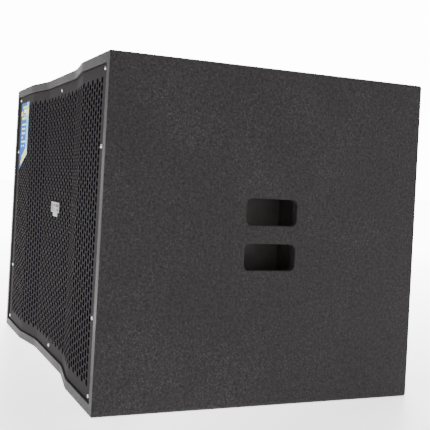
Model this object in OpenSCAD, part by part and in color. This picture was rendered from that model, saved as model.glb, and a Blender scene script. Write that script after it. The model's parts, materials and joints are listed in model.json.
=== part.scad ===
// Subwoofer cabinet: one 18-inch driver and four reflex ports behind a folded steel grille.
// Millimetres. The grille faces -Y, +X is to the right seen from the front, and +Z is up.
// The origin is the middle of the footprint, on the floor.

/* [Cabinet] */
// Width over the side panels
cab_w = 820; // [720:2:990]
// Depth from the front edge of the ears to the rear edge
cab_d = 625; // [560:5:760]
// Height
cab_h = 600; // [560:5:730]
// Thickness of the plywood panels
panel_t = 18; // [12:0.2:22]
// Radius on the cabinet's outer edges
edge_r = 6; // [3:0.5:10]
// How far the back panel sits inside the rear edges
back_inset = 12; // [10:1:25]

/* [Front contour] */
// Width of each flat ear, measured from the cabinet's side
ear_w = 182; // [150:1:220]
// Width of each slope, seen from above
slope_w = 103; // [60:1:120]
// Depth of the flat recess between the slopes
recess_d = 16; // [6:0.5:20]

/* [Baffle and bracing] */
// Distance from the front edge of the ears to the baffle
baffle_setback = 68; // [64:1:90]
// Thickness of the baffle
baffle_t = 18; // [15:1:24]
// Thickness and width of the glued battens
batten_w = 20; // [15:1:25]
// Distance of the window brace from the rear edge
brace_from_rear = 200; // [170:5:220]
// Width of the window brace's outer frame
brace_frame_w = 50; // [35:5:60]
// Width of the window brace's two crossing bars
brace_bar_w = 44; // [30:2:60]

/* [Hand slots] */
// Length of each slot
slot_l = 101; // [84:1:122]
// Height of each slot
slot_h = 47; // [39:1:57]
// Height of the grip bar between the two slots
grip_h = 33; // [28:1:40]
// Corner radius of a slot
slot_r = 10; // [6:1:18]
// Height of the middle of the grip bar above the floor
grip_z = 305; // [260:5:340]
// Depth of the cup behind the slots
cup_depth = 70; // [58:1:84]
// Wall of the cup
cup_wall = 6; // [4:1:9]
// Space inside the cup beyond the slots, on every side
cup_margin = 12; // [6:1:20]
// Width of the cup's glued flange
cup_flange = 14; // [12:1:18]

/* [Grille] */
// Thickness of the steel sheet
sheet_t = 1.5; // [1:0.1:2]
// How far the grille's ears sit behind the cabinet's front edges
grille_inset = 4; // [2:0.5:9]
// Gap between the grille and the panels around it
grille_gap = 1.2; // [0.8:0.2:4]
// Thickness of the foam behind the grille
foam_t = 8; // [4:1:8]
// Width of the wooden rail behind each ear
rail_w = 30; // [26:1:36]
// Distance of the side screws from the cabinet's side
screw_from_side = 35; // [28:1:42]
// Distance of the outer side screws from the top and bottom
screw_end = 27; // [26:1:40]
// Distance of the inner side screws from the top and bottom
screw_inner = 157; // [120:1:200]
// Distance of the two middle screws from the top and bottom
screw_middle = 31; // [28:1:42]
// Diameter of a grille screw's head
screw_head_d = 8; // [6:0.5:12]
// Height of a grille screw's head
screw_head_h = 2.6; // [2:0.2:4]

/* [Badge and label] */
// Width of the badge plate
badge_w = 72; // [60:1:90]
// Height of the badge plate
badge_h = 22; // [18:1:30]
// Width of the tab below the badge plate
badge_tab_w = 40; // [30:1:50]
// Height of the tab below the badge plate
badge_tab_h = 8; // [5:1:12]
// Height of the badge plate's middle above the floor
badge_z = 322; // [250:2:360]
// Width of the label on the left ear
label_w = 90; // [80:1:100]
// Length of the label's outer edge
label_long = 165; // [120:1:200]
// Length of the label's inner edge
label_short = 127; // [100:1:160]
// Distance of the label from the cabinet's side
label_from_side = 46; // [44:1:50]
// Distance of the label from the cabinet's top
label_from_top = 36; // [32:1:60]

/* [Driver] */
// Outer diameter of the basket's flange
driver_d = 462; // [455:1:470]
// Diameter of the hole in the baffle
cutout_d = 424; // [423:1:428]
// Diameter of the circle of driver bolts
bolt_circle_d = 443; // [441:1:446]
// Number of driver bolts
bolt_count = 8; // [6:1:10]
// Outer diameter of the ferrite magnet
magnet_d = 220; // [205:1:235]
// Height of the ferrite magnet
magnet_h = 40; // [36:1:50]
// Inner diameter of the voice coil former
coil_d = 100; // [96:1:101]
// Travel of the cone each way
cone_travel = 9; // [4:1:9]

/* [Ports] */
// Inner diameter of a port tube
port_d = 100; // [80:2:104]
// Wall of a port tube
port_wall = 3; // [2:0.5:4]
// Width of a port's flange beyond its tube
port_flange_w = 9; // [6:1:10]
// Length of a port tube behind the baffle's front face
port_l = 200; // [150:5:220]

/* [Rear connectors and pole socket] */
// Width of the connector plate
plate_w = 180; // [160:5:220]
// Height of the connector plate
plate_h = 120; // [100:5:150]
// Height of the connector plate's middle above the floor
plate_z = 160; // [120:5:200]
// Distance between the two link sockets
socket_pitch = 70; // [50:2:90]
// Inner diameter of the pole socket
pole_bore_d = 35.5; // [35.2:0.1:36]
// Depth of the pole socket
pole_depth = 80; // [60:5:100]
// Diameter of the pole socket's flange
pole_flange_d = 92; // [84:2:110]
// Distance of the pole socket from the cabinet's rear edge
pole_from_rear = 285; // [240:5:300]

/* [Hidden] */

$fn = 64;
eps = 0.01;         // lets a cutter pass a face
cut = 2;            // lets a long cutter pass a face

// Planes and inner sizes of the cabinet
front_y = -cab_d / 2;
rear_y = cab_d / 2;
inner_half_w = cab_w / 2 - panel_t;
inner_top = cab_h - panel_t;
back_outer_y = rear_y - back_inset;
back_inner_y = back_outer_y - panel_t;
baffle_front_y = front_y + baffle_setback;
baffle_back_y = baffle_front_y + baffle_t;
bend_out = cab_w / 2 - ear_w;
bend_in = bend_out - slope_w;

// Window brace
brace_y = rear_y - brace_from_rear;
brace_hole_r = 20;

// Grille, foam and their fixings
grille_ear_y = front_y + grille_inset;
grille_mid_y = grille_ear_y + recess_d;
rail_front_y = grille_ear_y + sheet_t;
block_front_y = grille_mid_y + sheet_t;
block_half_w = 30;
block_h = 30;
foam_clear = 1;
foam_half_w = inner_half_w - rail_w - foam_clear;
foam_edge = 40;     // distance of the foam from the cabinet's top and bottom
screw_x = cab_w / 2 - screw_from_side;
screw_shank_r = 2;
screw_shank_l = 24;
screw_hole_r = 2.75;
side_screw_z = [screw_end, screw_inner, cab_h - screw_inner, cab_h - screw_end];
middle_screw_z = [screw_middle, cab_h - screw_middle];

// Badge and label
badge_t = 2;
badge_gap = 1;      // how far the badge plate stands off the grille
badge_stud_r = 1.75;
badge_stud_edge = 8;
badge_stud_x = badge_w / 2 - badge_stud_edge;
badge_stud_l = 3;   // length of a stud behind the sheet
badge_hole_r = 2;
clip_r = 5;
clip_t = 0.8;
clip_clear = 1;
label_t = 0.4;
label_x = -cab_w / 2 + label_from_side;
label_top = cab_h - label_from_top;

// Hand slots and cups
slot_dz = (slot_h + grip_h) / 2;
cup_half_l = slot_l / 2 + cup_margin;
cup_half_h = slot_dz + slot_h / 2 + cup_margin;
cup_screw_r = 1.75;
cup_screw_bite = 9; // how far a cup screw goes into the side panel
cup_screw_head_r = 3.5;
cup_screw_head_h = 2;

// Driver, in its own frame: z is 0 on the baffle's front face and points forwards
driver_r = driver_d / 2;
flange_t = 10;
flange_inner_r = 200;
gasket_t = 4;
gasket_inner_r = 212;
lip_t = 2;          // thickness of the surround's outer lip
bolt_circle_r = bolt_circle_d / 2;
bolt_r = 3;
bolt_hole_r = 3.3;
bolt_head_r = 5;
bolt_head_h = 6;
bolt_hex_r = 2.5;
bolt_hex_depth = 3;
nut_hole_r = 4;
nut_bore_r = 3.05;
nut_flange_r = 9;
nut_flange_t = 1.5;
nut_barrel_l = 10;
skirt_outer_r = 210;
skirt_inner_r = 204;
skirt_depth = 30;
shelf_z = -112;     // where the spider's outer lip is glued
shelf_t = 8;
spider_outer_r = 102;
spider_lip = 10;
shelf_inner_r = spider_outer_r - spider_lip;
shelf_outer_r = 112;
spoke_count = 8;
spoke_w = 16;
spoke_foot = 14;    // height of a spoke's joint with the skirt
spoke_heel = 8;     // how far a spoke reaches below the skirt
spoke_lap = 6;      // width of a spoke's joint with the shelf
roll_r = 13;        // radius of the surround's half roll
roll_mid_r = 187;
roll_start = 15;    // angle at which the roll leaves the surround's flat
arc_steps = 12;
surround_t = 1.4;
cone_edge_r = 172;
cone_lip_r = 160;
cone_front_z = -1.5;
cone_neck_z = -85;
cone_t = 2;
former_r = coil_d / 2;
former_t = 0.8;
former_outer_r = former_r + former_t;
former_top_z = -80;
winding_t = 1.8;
gap_clear = 1;      // clearance of the coil in the magnetic gap, on each side
top_plate_t = 12;
winding_l = top_plate_t + 2 * cone_travel;
top_plate_top_z = shelf_z - shelf_t;
winding_mid_z = top_plate_top_z - top_plate_t / 2;
winding_bottom_z = winding_mid_z - winding_l / 2;
top_plate_inner_r = former_outer_r + winding_t + gap_clear;
plate_step = 10;    // how far the steel plates stop short of the ferrite's edge
plate_r = magnet_d / 2 - plate_step;
magnet_top_z = top_plate_top_z - top_plate_t;
magnet_bottom_z = magnet_top_z - magnet_h;
magnet_inner_r = 64;
back_plate_t = 14;
pole_r = former_r - gap_clear;
pole_rise = 2;      // how far the pole stands above the top plate
pole_top_z = top_plate_top_z + pole_rise;
pole_vent_r = 20;
cap_r = 62;
cap_h = 22;
cap_t = 1.2;
cap_foot = 1.8;     // width of the cap's glued rim
cap_lap = 2;        // angle of the cap's glued rim, in degrees
spider_inner_z = -100;
spider_neck = 4;    // width of the spider's flat collar
spider_waves = 4;
spider_wave_h = 2;
spider_wave_steps = 8;
spider_t = 0.8;
spider_gap = 0.3;   // thickness of the glue between the spider and the coil former
board_w = 44;
board_t = 3;
board_l = 26;
board_pad = 14;     // depth of the flat pad that the board is glued to
lug_w = 10;
lug_t = 3;
lug_l = 14;
lug_x = 12;
lug_edge = 2;       // distance of the lugs from the board's front edge
tinsel_r = 1.2;
tinsel_gap = 2;     // how far a lead's end stops short of the cone's rear face
tinsel_end = [16, -90];
tinsel_bow = [[0, 0, 3], [0, 1, 7], [1, 6, 14], [2, 13, 17]];   // a lead's way up from its lug
plug_w = 36;
plug_h = 8;

// Ports
port_r = port_d / 2;
port_outer_r = port_r + port_wall;
port_flange_r = port_outer_r + port_flange_w;
port_flange_t = 3;
port_clear = 8;
port_x = inner_half_w - rail_w - port_flange_r - port_clear;
port_end_clear = 2;
port_dz = cab_h / 2 - panel_t - batten_w - port_flange_r - port_end_clear;

// Connector plate and link sockets
plate_t = 2.5;
plate_corner_r = 4.5;
plate_window_margin = 25;
plate_y = back_outer_y;
socket_flange_w = 26;
socket_flange_h = 31;
socket_flange_t = 2;
socket_flange_r = 3;
socket_barrel_r = 11.9;
socket_hole_r = 12.1;
socket_barrel_l = 30;
socket_cavity_r = 9.8;
socket_cavity_l = 22;
socket_post_r = 4.5;
socket_post_recess = 8;
socket_screw_dx = 9.5;
socket_screw_dz = 12;
small_screw_r = 1.5;
small_screw_head_r = 2.8;
small_screw_head_h = 1.6;
small_screw_bite = 3;   // how far a socket screw passes the plate
plate_screw_r = 2;
plate_screw_head_r = 4;
plate_screw_head_h = 2.4;
plate_screw_edge = 9;
plate_screw_l = 14;
contact_w = 4.8;
contact_t = 0.8;
contact_l = 9;
contact_ring_r = 7;

// Pole socket
pole_bore_r = pole_bore_d / 2;
pole_wall = 3;
pole_flange_r = pole_flange_d / 2;
pole_flange_t = 3;
pole_floor_t = 4;
pole_hole_clear = 0.5;
pole_screw_edge = 10;
pole_screw_pcd_r = pole_flange_r - pole_screw_edge;
pole_screw_r = 2.25;
pole_screw_head_r = 4.5;
pole_screw_head_h = 2.5;
pole_screw_l = 12;
pole_y = rear_y - pole_from_rear;

// Soft lining
wadding_t = 25;
wadding_clear = 3;
wadding_window = 10;    // gap between the wadding and the connector plate's edges

// Middle lines of the two inner cables
boot_r = 9;
boot_l = 12;
boot_y = back_outer_y + plate_t - socket_barrel_l - contact_l - boot_l;
cable_r = 4;
cable_sides = 8;
cable_steps = 3;
cable_side = [1, 0, 0.2];   // a direction that no cable runs along
cable_rise = 4.2;   // how far above the socket's axis the driver cable leaves its boot
link_r = 3;
link_drop = 4.5;    // how far below the socket's axis the link cable leaves its boot
plug_y = baffle_front_y - shelf_z + shelf_t;
plug_mid_z = cab_h / 2 - shelf_outer_r - board_t - plug_h / 2;
driver_route = [
    [socket_pitch / 2, boot_y, plate_z + cable_rise],
    [socket_pitch / 2, boot_y - 6, plate_z + cable_rise],
    [socket_pitch / 2, boot_y - 14, plate_z + cable_rise],
    [socket_pitch / 2 + 8, boot_y - 45, plate_z - 15],
    [socket_pitch / 2 + 20, boot_y - 85, plate_z - 40],
    [60, 110, 112],
    [50, 20, 118],
    [32, -50, 135],
    [8, plug_y + 35, plug_mid_z - 8],
    [0, plug_y + 14, plug_mid_z],
    [0, plug_y + 6, plug_mid_z],
    [0, plug_y, plug_mid_z]];
link_route = [
    [-socket_pitch / 2, boot_y, plate_z - link_drop],
    [-socket_pitch / 2, boot_y - 5, plate_z - link_drop],
    [-socket_pitch / 2, boot_y - 10, plate_z - link_drop],
    [-socket_pitch / 4, boot_y - 26, plate_z - 10],
    [socket_pitch / 4, boot_y - 26, plate_z - 10],
    [socket_pitch / 2, boot_y - 10, plate_z - link_drop],
    [socket_pitch / 2, boot_y - 5, plate_z - link_drop],
    [socket_pitch / 2, boot_y, plate_z - link_drop]];

function arc(cx, cy, r, a0, a1, n) =
    [for (i = [0:n]) let (a = a0 + (a1 - a0) * i / n) [cx + r * cos(a), cy + r * sin(a)]];

function reversed(points) = [for (i = [len(points) - 1:-1:0]) points[i]];

// Points of the front contour between two sides, with its ears at the given y
function contour(half_w, ear_y) = [
    [-half_w, ear_y], [-bend_out, ear_y], [-bend_in, ear_y + recess_d],
    [bend_in, ear_y + recess_d], [bend_out, ear_y], [half_w, ear_y]];

function shifted(points, dx, dy) = [for (p = points) [p[0] + dx, p[1] + dy]];

function unit(v) = v / norm(v);

// Direction of the smooth curve at b, which leans towards the nearer of its neighbours
function heading(a, b, c) =
    a == b ? unit(c - b) :
    b == c ? unit(b - a) :
    unit(unit(b - a) * norm(c - b) + unit(c - b) * norm(b - a));

// Point of a smooth curve through the route, t from one point to the next
function curve_at(route, i, t) =
    let (last = len(route) - 1,
        a = route[max(i - 1, 0)], b = route[i],
        c = route[i + 1], d = route[min(i + 2, last)],
        leave = norm(c - b) * heading(a, b, c),
        arrive = norm(c - b) * heading(b, c, d))
    b + leave * t + (3 * (c - b) - 2 * leave - arrive) * t * t
        + (2 * (b - c) + leave + arrive) * t * t * t;

function smooth_route(route, steps) = concat(
    [for (i = [0:len(route) - 2]) for (k = [0:steps - 1]) curve_at(route, i, k / steps)],
    [route[len(route) - 1]]);

// Ring of points round a line's point, square to its direction
function ring(line, i, r, sides) =
    let (last = len(line) - 1,
        along = unit(line[min(i + 1, last)] - line[max(i - 1, 0)]),
        across = unit(cross(along, cable_side)),
        over = cross(across, along))
    [for (k = [0:sides - 1]) let (a = 360 * k / sides)
        line[i] + r * (across * cos(a) + over * sin(a))];

// Round cable along a line of points
module tube_along(line, r, sides) {
    points = [for (i = [0:len(line) - 1]) each ring(line, i, r, sides)];
    last = (len(line) - 1) * sides;
    walls = [for (i = [0:len(line) - 2]) for (k = [0:sides - 1])
        let (a = i * sides + k, b = i * sides + (k + 1) % sides)
        [a, b, b + sides, a + sides]];
    start = [for (k = [sides - 1:-1:0]) k];
    end = [for (k = [0:sides - 1]) last + k];
    polyhedron(points, concat([start], walls, [end]));
}

// Rectangle with round corners, centred
module round_rect(w, h, r) {
    square([w - 2 * r, h], center = true);
    square([w, h - 2 * r], center = true);
    for (x = [-1, 1]) for (y = [-1, 1])
        translate([x * (w / 2 - r), y * (h / 2 - r)]) circle(r);
}

// The cabinet's outer shape, with every outer edge but the front's top and bottom rounded
module envelope() {
    intersection() {
        linear_extrude(cab_h) round_rect(cab_w, cab_d, edge_r);
        translate([0, rear_y, cab_h / 2]) rotate([90, 0, 0])
            linear_extrude(cab_d) round_rect(cab_w, cab_h, edge_r);
        translate([-cab_w / 2, 0, cab_h / 2]) rotate([90, 0, 90])
            linear_extrude(cab_w) {
                round_rect(cab_d, cab_h, edge_r);
                translate([front_y, -cab_h / 2]) square([cab_d / 2, cab_h]);
            }
    }
}

// Through hole of one hand slot, along X
module slot_hole(z) {
    translate([inner_half_w - cut, 0, z]) rotate([0, 90, 0])
        linear_extrude(panel_t + 2 * cut) round_rect(slot_h, slot_l, slot_r);
}

module side_panel() {
    difference() {
        intersection() {
            envelope();
            translate([inner_half_w, front_y - cut, -cut])
                cube([panel_t + cut, cab_d + 2 * cut, cab_h + 2 * cut]);
        }
        slot_hole(grip_z - slot_dz);
        slot_hole(grip_z + slot_dz);
        cup_screw_places() cylinder(r = cup_screw_r, h = cup_wall + cup_screw_bite);
    }
}

module side_panel_right() {
    color([0.26, 0.25, 0.255]) side_panel();
}

module side_panel_left() {
    color([0.26, 0.25, 0.255]) mirror([1, 0, 0]) side_panel();
}

// Top or bottom board, with the front contour cut along its front edge
module end_board(z) {
    rear_line = [[inner_half_w, rear_y + cut], [-inner_half_w, rear_y + cut]];
    intersection() {
        envelope();
        translate([0, 0, z]) linear_extrude(panel_t)
            polygon(concat(contour(inner_half_w, front_y), rear_line));
    }
}

module top_panel() {
    tube_outer_r = pole_bore_r + pole_wall;
    color([0.26, 0.25, 0.255]) difference() {
        end_board(inner_top);
        translate([0, pole_y, inner_top - cut])
            cylinder(r = tube_outer_r + pole_hole_clear, h = panel_t + 2 * cut);
        translate([0, pole_y, cab_h - pole_flange_t])
            cylinder(r = pole_flange_r + pole_hole_clear, h = pole_flange_t + cut);
        pole_screw_places() translate([0, 0, -pole_screw_l])
            cylinder(r = pole_screw_r, h = pole_screw_l + eps);
    }
}

module bottom_panel() {
    color([0.26, 0.25, 0.255]) end_board(0);
}

module back_panel() {
    window_w = plate_w - 2 * plate_window_margin;
    window_h = plate_h - 2 * plate_window_margin;
    color([0.26, 0.25, 0.255]) difference() {
        translate([-inner_half_w, back_inner_y, panel_t])
            cube([2 * inner_half_w, panel_t, cab_h - 2 * panel_t]);
        translate([-window_w / 2, back_inner_y - cut, plate_z - window_h / 2])
            cube([window_w, panel_t + 2 * cut, window_h]);
        plate_screw_places() translate([0, 0, -plate_screw_l])
            cylinder(r = plate_screw_r, h = plate_screw_l + eps);
    }
}

// Places its children in the driver's frame
module at_driver() {
    translate([0, baffle_front_y, cab_h / 2]) rotate([90, 0, 0]) children();
}

module bolt_places() {
    for (i = [0:bolt_count - 1])
        rotate([0, 0, 360 * (i + 0.5) / bolt_count])
            translate([bolt_circle_r, 0, 0]) children();
}

module at_port(side, level) {
    translate([side * port_x, baffle_front_y, cab_h / 2 + level * port_dz])
        rotate([90, 0, 0]) children();
}

module front_baffle() {
    color([0.16, 0.15, 0.15]) difference() {
        translate([-inner_half_w, baffle_front_y, panel_t])
            cube([2 * inner_half_w, baffle_t, cab_h - 2 * panel_t]);
        at_driver() translate([0, 0, -baffle_t - cut])
            cylinder(r = cutout_d / 2, h = baffle_t + 2 * cut, $fn = 128);
        at_driver() bolt_places() translate([0, 0, -baffle_t - cut])
            cylinder(r = nut_hole_r, h = baffle_t + 2 * cut);
        for (side = [-1, 1]) for (level = [-1, 1])
            at_port(side, level) translate([0, 0, -baffle_t - cut])
                cylinder(r = port_outer_r, h = baffle_t + 2 * cut);
    }
}

// Frame of board glued to all four walls behind the driver, with two crossing bars
module window_brace() {
    hole_w = inner_half_w - brace_frame_w - brace_bar_w / 2;
    hole_h = (cab_h - 2 * panel_t - brace_bar_w) / 2 - brace_frame_w;
    color([0.72, 0.58, 0.4]) difference() {
        translate([-inner_half_w, brace_y, panel_t])
            cube([2 * inner_half_w, panel_t, cab_h - 2 * panel_t]);
        for (x = [-1, 1]) for (z = [-1, 1])
            translate([x * (brace_bar_w + hole_w) / 2, brace_y + panel_t + cut,
                cab_h / 2 + z * (brace_bar_w + hole_h) / 2])
                rotate([90, 0, 0]) linear_extrude(panel_t + 2 * cut)
                    round_rect(hole_w, hole_h, brace_hole_r);
    }
}

// Four battens that frame the inside of the cabinet between two planes
module batten_frame(y) {
    length_z = cab_h - 2 * panel_t - 2 * batten_w;
    for (z = [panel_t, inner_top - batten_w])
        translate([-inner_half_w, y, z]) cube([2 * inner_half_w, batten_w, batten_w]);
    for (x = [-inner_half_w, inner_half_w - batten_w])
        translate([x, y, panel_t + batten_w]) cube([batten_w, batten_w, length_z]);
}

module baffle_battens() {
    color([0.75, 0.6, 0.42]) batten_frame(baffle_back_y);
}

module back_battens() {
    color([0.75, 0.6, 0.42]) batten_frame(back_inner_y - batten_w);
}

module screw_places_side(side) {
    for (z = side_screw_z)
        translate([side * screw_x, grille_ear_y, z]) rotate([90, 0, 0]) children();
}

module screw_places_middle() {
    for (z = middle_screw_z)
        translate([0, grille_mid_y, z]) rotate([90, 0, 0]) children();
}

module screw_bore(r) {
    translate([0, 0, -screw_shank_l - sheet_t]) cylinder(r = r, h = screw_shank_l + sheet_t + cut);
}

module grille_rail(side) {
    low_x = side > 0 ? inner_half_w - rail_w : -inner_half_w;
    color([0.2, 0.19, 0.19]) difference() {
        translate([low_x, rail_front_y, panel_t])
            cube([rail_w, baffle_front_y - rail_front_y, cab_h - 2 * panel_t]);
        screw_places_side(side) screw_bore(screw_shank_r);
    }
}

module grille_rail_left() {
    grille_rail(-1);
}

module grille_rail_right() {
    grille_rail(1);
}

module grille_block(z) {
    color([0.2, 0.19, 0.19]) difference() {
        translate([-block_half_w, block_front_y, z])
            cube([2 * block_half_w, baffle_front_y - block_front_y, block_h]);
        screw_places_middle() screw_bore(screw_shank_r);
    }
}

module grille_block_top() {
    grille_block(inner_top - block_h);
}

module grille_block_bottom() {
    grille_block(panel_t);
}

// Open box behind the two slots, with a flange that is glued and screwed to the side panel
module hand_cup() {
    outer_l = 2 * (cup_half_l + cup_wall);
    outer_h = 2 * (cup_half_h + cup_wall);
    color([0.1, 0.095, 0.09]) difference() {
        union() {
            translate([inner_half_w - cup_depth - cup_wall, -outer_l / 2, grip_z - outer_h / 2])
                cube([cup_depth + cup_wall, outer_l, outer_h]);
            translate([inner_half_w - cup_wall, -outer_l / 2 - cup_flange,
                grip_z - outer_h / 2 - cup_flange])
                cube([cup_wall, outer_l + 2 * cup_flange, outer_h + 2 * cup_flange]);
        }
        translate([inner_half_w - cup_depth, -cup_half_l, grip_z - cup_half_h])
            cube([cup_depth + cut, 2 * cup_half_l, 2 * cup_half_h]);
        cup_screw_places() cylinder(r = cup_screw_r, h = cup_wall + eps);
    }
}

// The eight screws of the right-hand cup's flange, each pointing outwards
module cup_screw_places() {
    dy = cup_half_l + cup_wall + cup_flange / 2;
    dz = cup_half_h + cup_wall + cup_flange / 2;
    places = [for (y = [-1, 0, 1]) for (z = [-1, 0, 1]) if (y != 0 || z != 0) [y * dy, z * dz]];
    for (p = places)
        translate([inner_half_w - cup_wall, p[0], grip_z + p[1]]) rotate([0, 90, 0]) children();
}

module hand_cup_right() {
    hand_cup();
}

module hand_cup_left() {
    mirror([1, 0, 0]) hand_cup();
}

module cup_screws() {
    cup_screw_places() {
        cylinder(r = cup_screw_r, h = cup_wall + cup_screw_bite);
        translate([0, 0, -cup_screw_head_h]) cylinder(r = cup_screw_head_r, h = cup_screw_head_h);
    }
}

module hand_cup_screws() {
    color([0.7, 0.7, 0.68]) {
        cup_screws();
        mirror([1, 0, 0]) cup_screws();
    }
}

// Sheet that follows the front contour between two levels
module contour_sheet(half_w, ear_y, t, low, high) {
    line = contour(half_w, ear_y);
    translate([0, 0, low]) linear_extrude(high - low)
        polygon(concat(line, reversed(shifted(line, 0, t))));
}

module badge_stud_places() {
    for (x = [-1, 1])
        translate([x * badge_stud_x, grille_mid_y, badge_z]) rotate([90, 0, 0]) children();
}

module grille() {
    color([0.3, 0.29, 0.285]) difference() {
        contour_sheet(inner_half_w - grille_gap, grille_ear_y, sheet_t,
            panel_t + grille_gap, inner_top - grille_gap);
        for (side = [-1, 1]) screw_places_side(side) screw_bore(screw_hole_r);
        screw_places_middle() screw_bore(screw_hole_r);
        badge_stud_places() translate([0, 0, -sheet_t - cut])
            cylinder(r = badge_hole_r, h = sheet_t + 2 * cut);
    }
}

module grille_foam() {
    block_cut = block_h + panel_t + foam_clear;
    color([0.05, 0.05, 0.06]) difference() {
        contour_sheet(foam_half_w, grille_ear_y + sheet_t, foam_t, foam_edge, cab_h - foam_edge);
        for (z = [foam_edge - cut, cab_h - block_cut])
            translate([-block_half_w - foam_clear, front_y, z])
                cube([2 * (block_half_w + foam_clear), baffle_setback,
                    block_cut - foam_edge + cut]);
        badge_stud_places() translate([0, 0, -sheet_t - foam_t - cut])
            cylinder(r = clip_r + clip_clear, h = foam_t + 2 * cut);
    }
}

module grille_screw() {
    cylinder(r = screw_head_d / 2, h = screw_head_h);
    translate([0, 0, -screw_shank_l - sheet_t])
        cylinder(r = screw_shank_r, h = screw_shank_l + sheet_t);
}

module grille_screws() {
    color([0.85, 0.85, 0.84]) {
        for (side = [-1, 1]) screw_places_side(side) grille_screw();
        screw_places_middle() grille_screw();
    }
}

module badge_plate() {
    low_z = badge_z - badge_h / 2;
    plate_back = grille_mid_y - badge_gap;
    color([0.75, 0.75, 0.76]) {
        translate([-badge_w / 2, plate_back - badge_t, low_z]) cube([badge_w, badge_t, badge_h]);
        translate([-badge_tab_w / 2, plate_back - badge_t, low_z - badge_tab_h])
            cube([badge_tab_w, badge_t, badge_tab_h]);
        badge_stud_places() translate([0, 0, -sheet_t - badge_stud_l])
            cylinder(r = badge_stud_r, h = badge_stud_l + sheet_t + badge_gap);
    }
}

module badge_clips() {
    color([0.6, 0.6, 0.6]) badge_stud_places() translate([0, 0, -sheet_t - clip_t])
        difference() {
            cylinder(r = clip_r, h = clip_t);
            translate([0, 0, -cut]) cylinder(r = badge_stud_r, h = clip_t + 2 * cut);
        }
}

module front_label() {
    outline = [[0, 0], [label_w, 0], [label_w, -label_short], [0, -label_long]];
    color([0.25, 0.5, 0.75]) translate([label_x, grille_ear_y, label_top]) rotate([90, 0, 0])
        linear_extrude(label_t) polygon(outline);
}

// Ring round the driver's axis
module ring_part(inner_r, outer_r, low, high) {
    translate([0, 0, low]) difference() {
        cylinder(r = outer_r, h = high - low, $fn = 128);
        translate([0, 0, -cut]) cylinder(r = inner_r, h = high - low + 2 * cut, $fn = 128);
    }
}

// One cast arm of the basket, in the plane of a radius and the axis
module basket_spoke() {
    outline = [[skirt_inner_r, -skirt_depth + spoke_foot], [skirt_outer_r, -skirt_depth],
        [skirt_outer_r, -skirt_depth - spoke_heel], [shelf_outer_r, shelf_z - shelf_t],
        [shelf_outer_r - spoke_lap, shelf_z - shelf_t], [shelf_outer_r - spoke_lap, shelf_z]];
    translate([0, spoke_w / 2, 0]) rotate([90, 0, 0]) linear_extrude(spoke_w) polygon(outline);
}

module woofer_basket() {
    color([0.12, 0.12, 0.125]) at_driver() difference() {
        union() {
            ring_part(flange_inner_r, driver_r, 0, flange_t);
            ring_part(skirt_inner_r, skirt_outer_r, -skirt_depth, eps);
            ring_part(shelf_inner_r, shelf_outer_r, shelf_z - shelf_t, shelf_z);
            for (i = [0:spoke_count - 1])
                rotate([0, 0, 360 * (i + 0.5) / spoke_count]) basket_spoke();
            translate([-board_w / 2, -shelf_outer_r, shelf_z - shelf_t])
                cube([board_w, board_pad, shelf_t]);
        }
        bolt_places() translate([0, 0, -cut]) cylinder(r = bolt_hole_r, h = flange_t + 2 * cut);
    }
}

module woofer_gasket() {
    color([0.2, 0.18, 0.16]) at_driver() difference() {
        ring_part(gasket_inner_r, driver_r, flange_t, flange_t + gasket_t);
        bolt_places() cylinder(r = bolt_hole_r, h = flange_t + gasket_t + cut);
    }
}

// Half-roll edge between the basket's flange and the cone
module woofer_surround() {
    base_z = flange_t + lip_t;
    roll_end = 180 - roll_start;
    outer_line = concat(
        [[gasket_inner_r, base_z], [roll_mid_r + roll_r, base_z]],
        arc(roll_mid_r, base_z, roll_r, roll_start, roll_end, arc_steps),
        [[cone_edge_r, cone_front_z + surround_t], [cone_lip_r, cone_front_z + surround_t]]);
    inner_line = concat(
        [[cone_lip_r, cone_front_z], [cone_edge_r + surround_t, cone_front_z]],
        arc(roll_mid_r, base_z, roll_r - surround_t, roll_end, roll_start, arc_steps),
        [[flange_inner_r + surround_t, flange_t], [gasket_inner_r, flange_t]]);
    color([0.08, 0.08, 0.085]) at_driver()
        rotate_extrude($fn = 128) polygon(concat(outer_line, inner_line));
}

module woofer_cone() {
    neck_low = cone_neck_z - cone_t;
    edge_low = cone_front_z - cone_t;
    color([0.09, 0.09, 0.09]) at_driver() rotate_extrude($fn = 128)
        polygon([[cone_edge_r, cone_front_z], [cone_lip_r, cone_front_z],
            [former_outer_r, cone_neck_z], [former_outer_r, neck_low],
            [cone_lip_r, edge_low], [cone_edge_r, edge_low]]);
}

// Domed cap whose rim rests on the front face of the cone
module dust_cap() {
    rim_z = cone_rear_z(cap_r) + cone_t;
    foot_r = cap_r - cap_foot;
    foot_z = cone_rear_z(foot_r) + cone_t;
    ball_r = (cap_r * cap_r + cap_h * cap_h) / (2 * cap_h);
    rim_angle = acos(cap_r / ball_r);
    mid_z = rim_z + cap_h - ball_r;
    color([0.08, 0.08, 0.08]) at_driver() rotate_extrude($fn = 96)
        polygon(concat(arc(0, mid_z, ball_r, 90, rim_angle, arc_steps), [[foot_r, foot_z]],
            arc(0, mid_z, ball_r - cap_t, rim_angle + cap_lap, 90, arc_steps)));
}

module voice_coil_former() {
    color([0.75, 0.65, 0.4]) at_driver()
        ring_part(former_r, former_outer_r, winding_bottom_z, former_top_z);
}

module voice_coil_winding() {
    color([0.72, 0.42, 0.22]) at_driver() ring_part(former_outer_r,
        former_outer_r + winding_t, winding_bottom_z, winding_bottom_z + winding_l);
}

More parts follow.
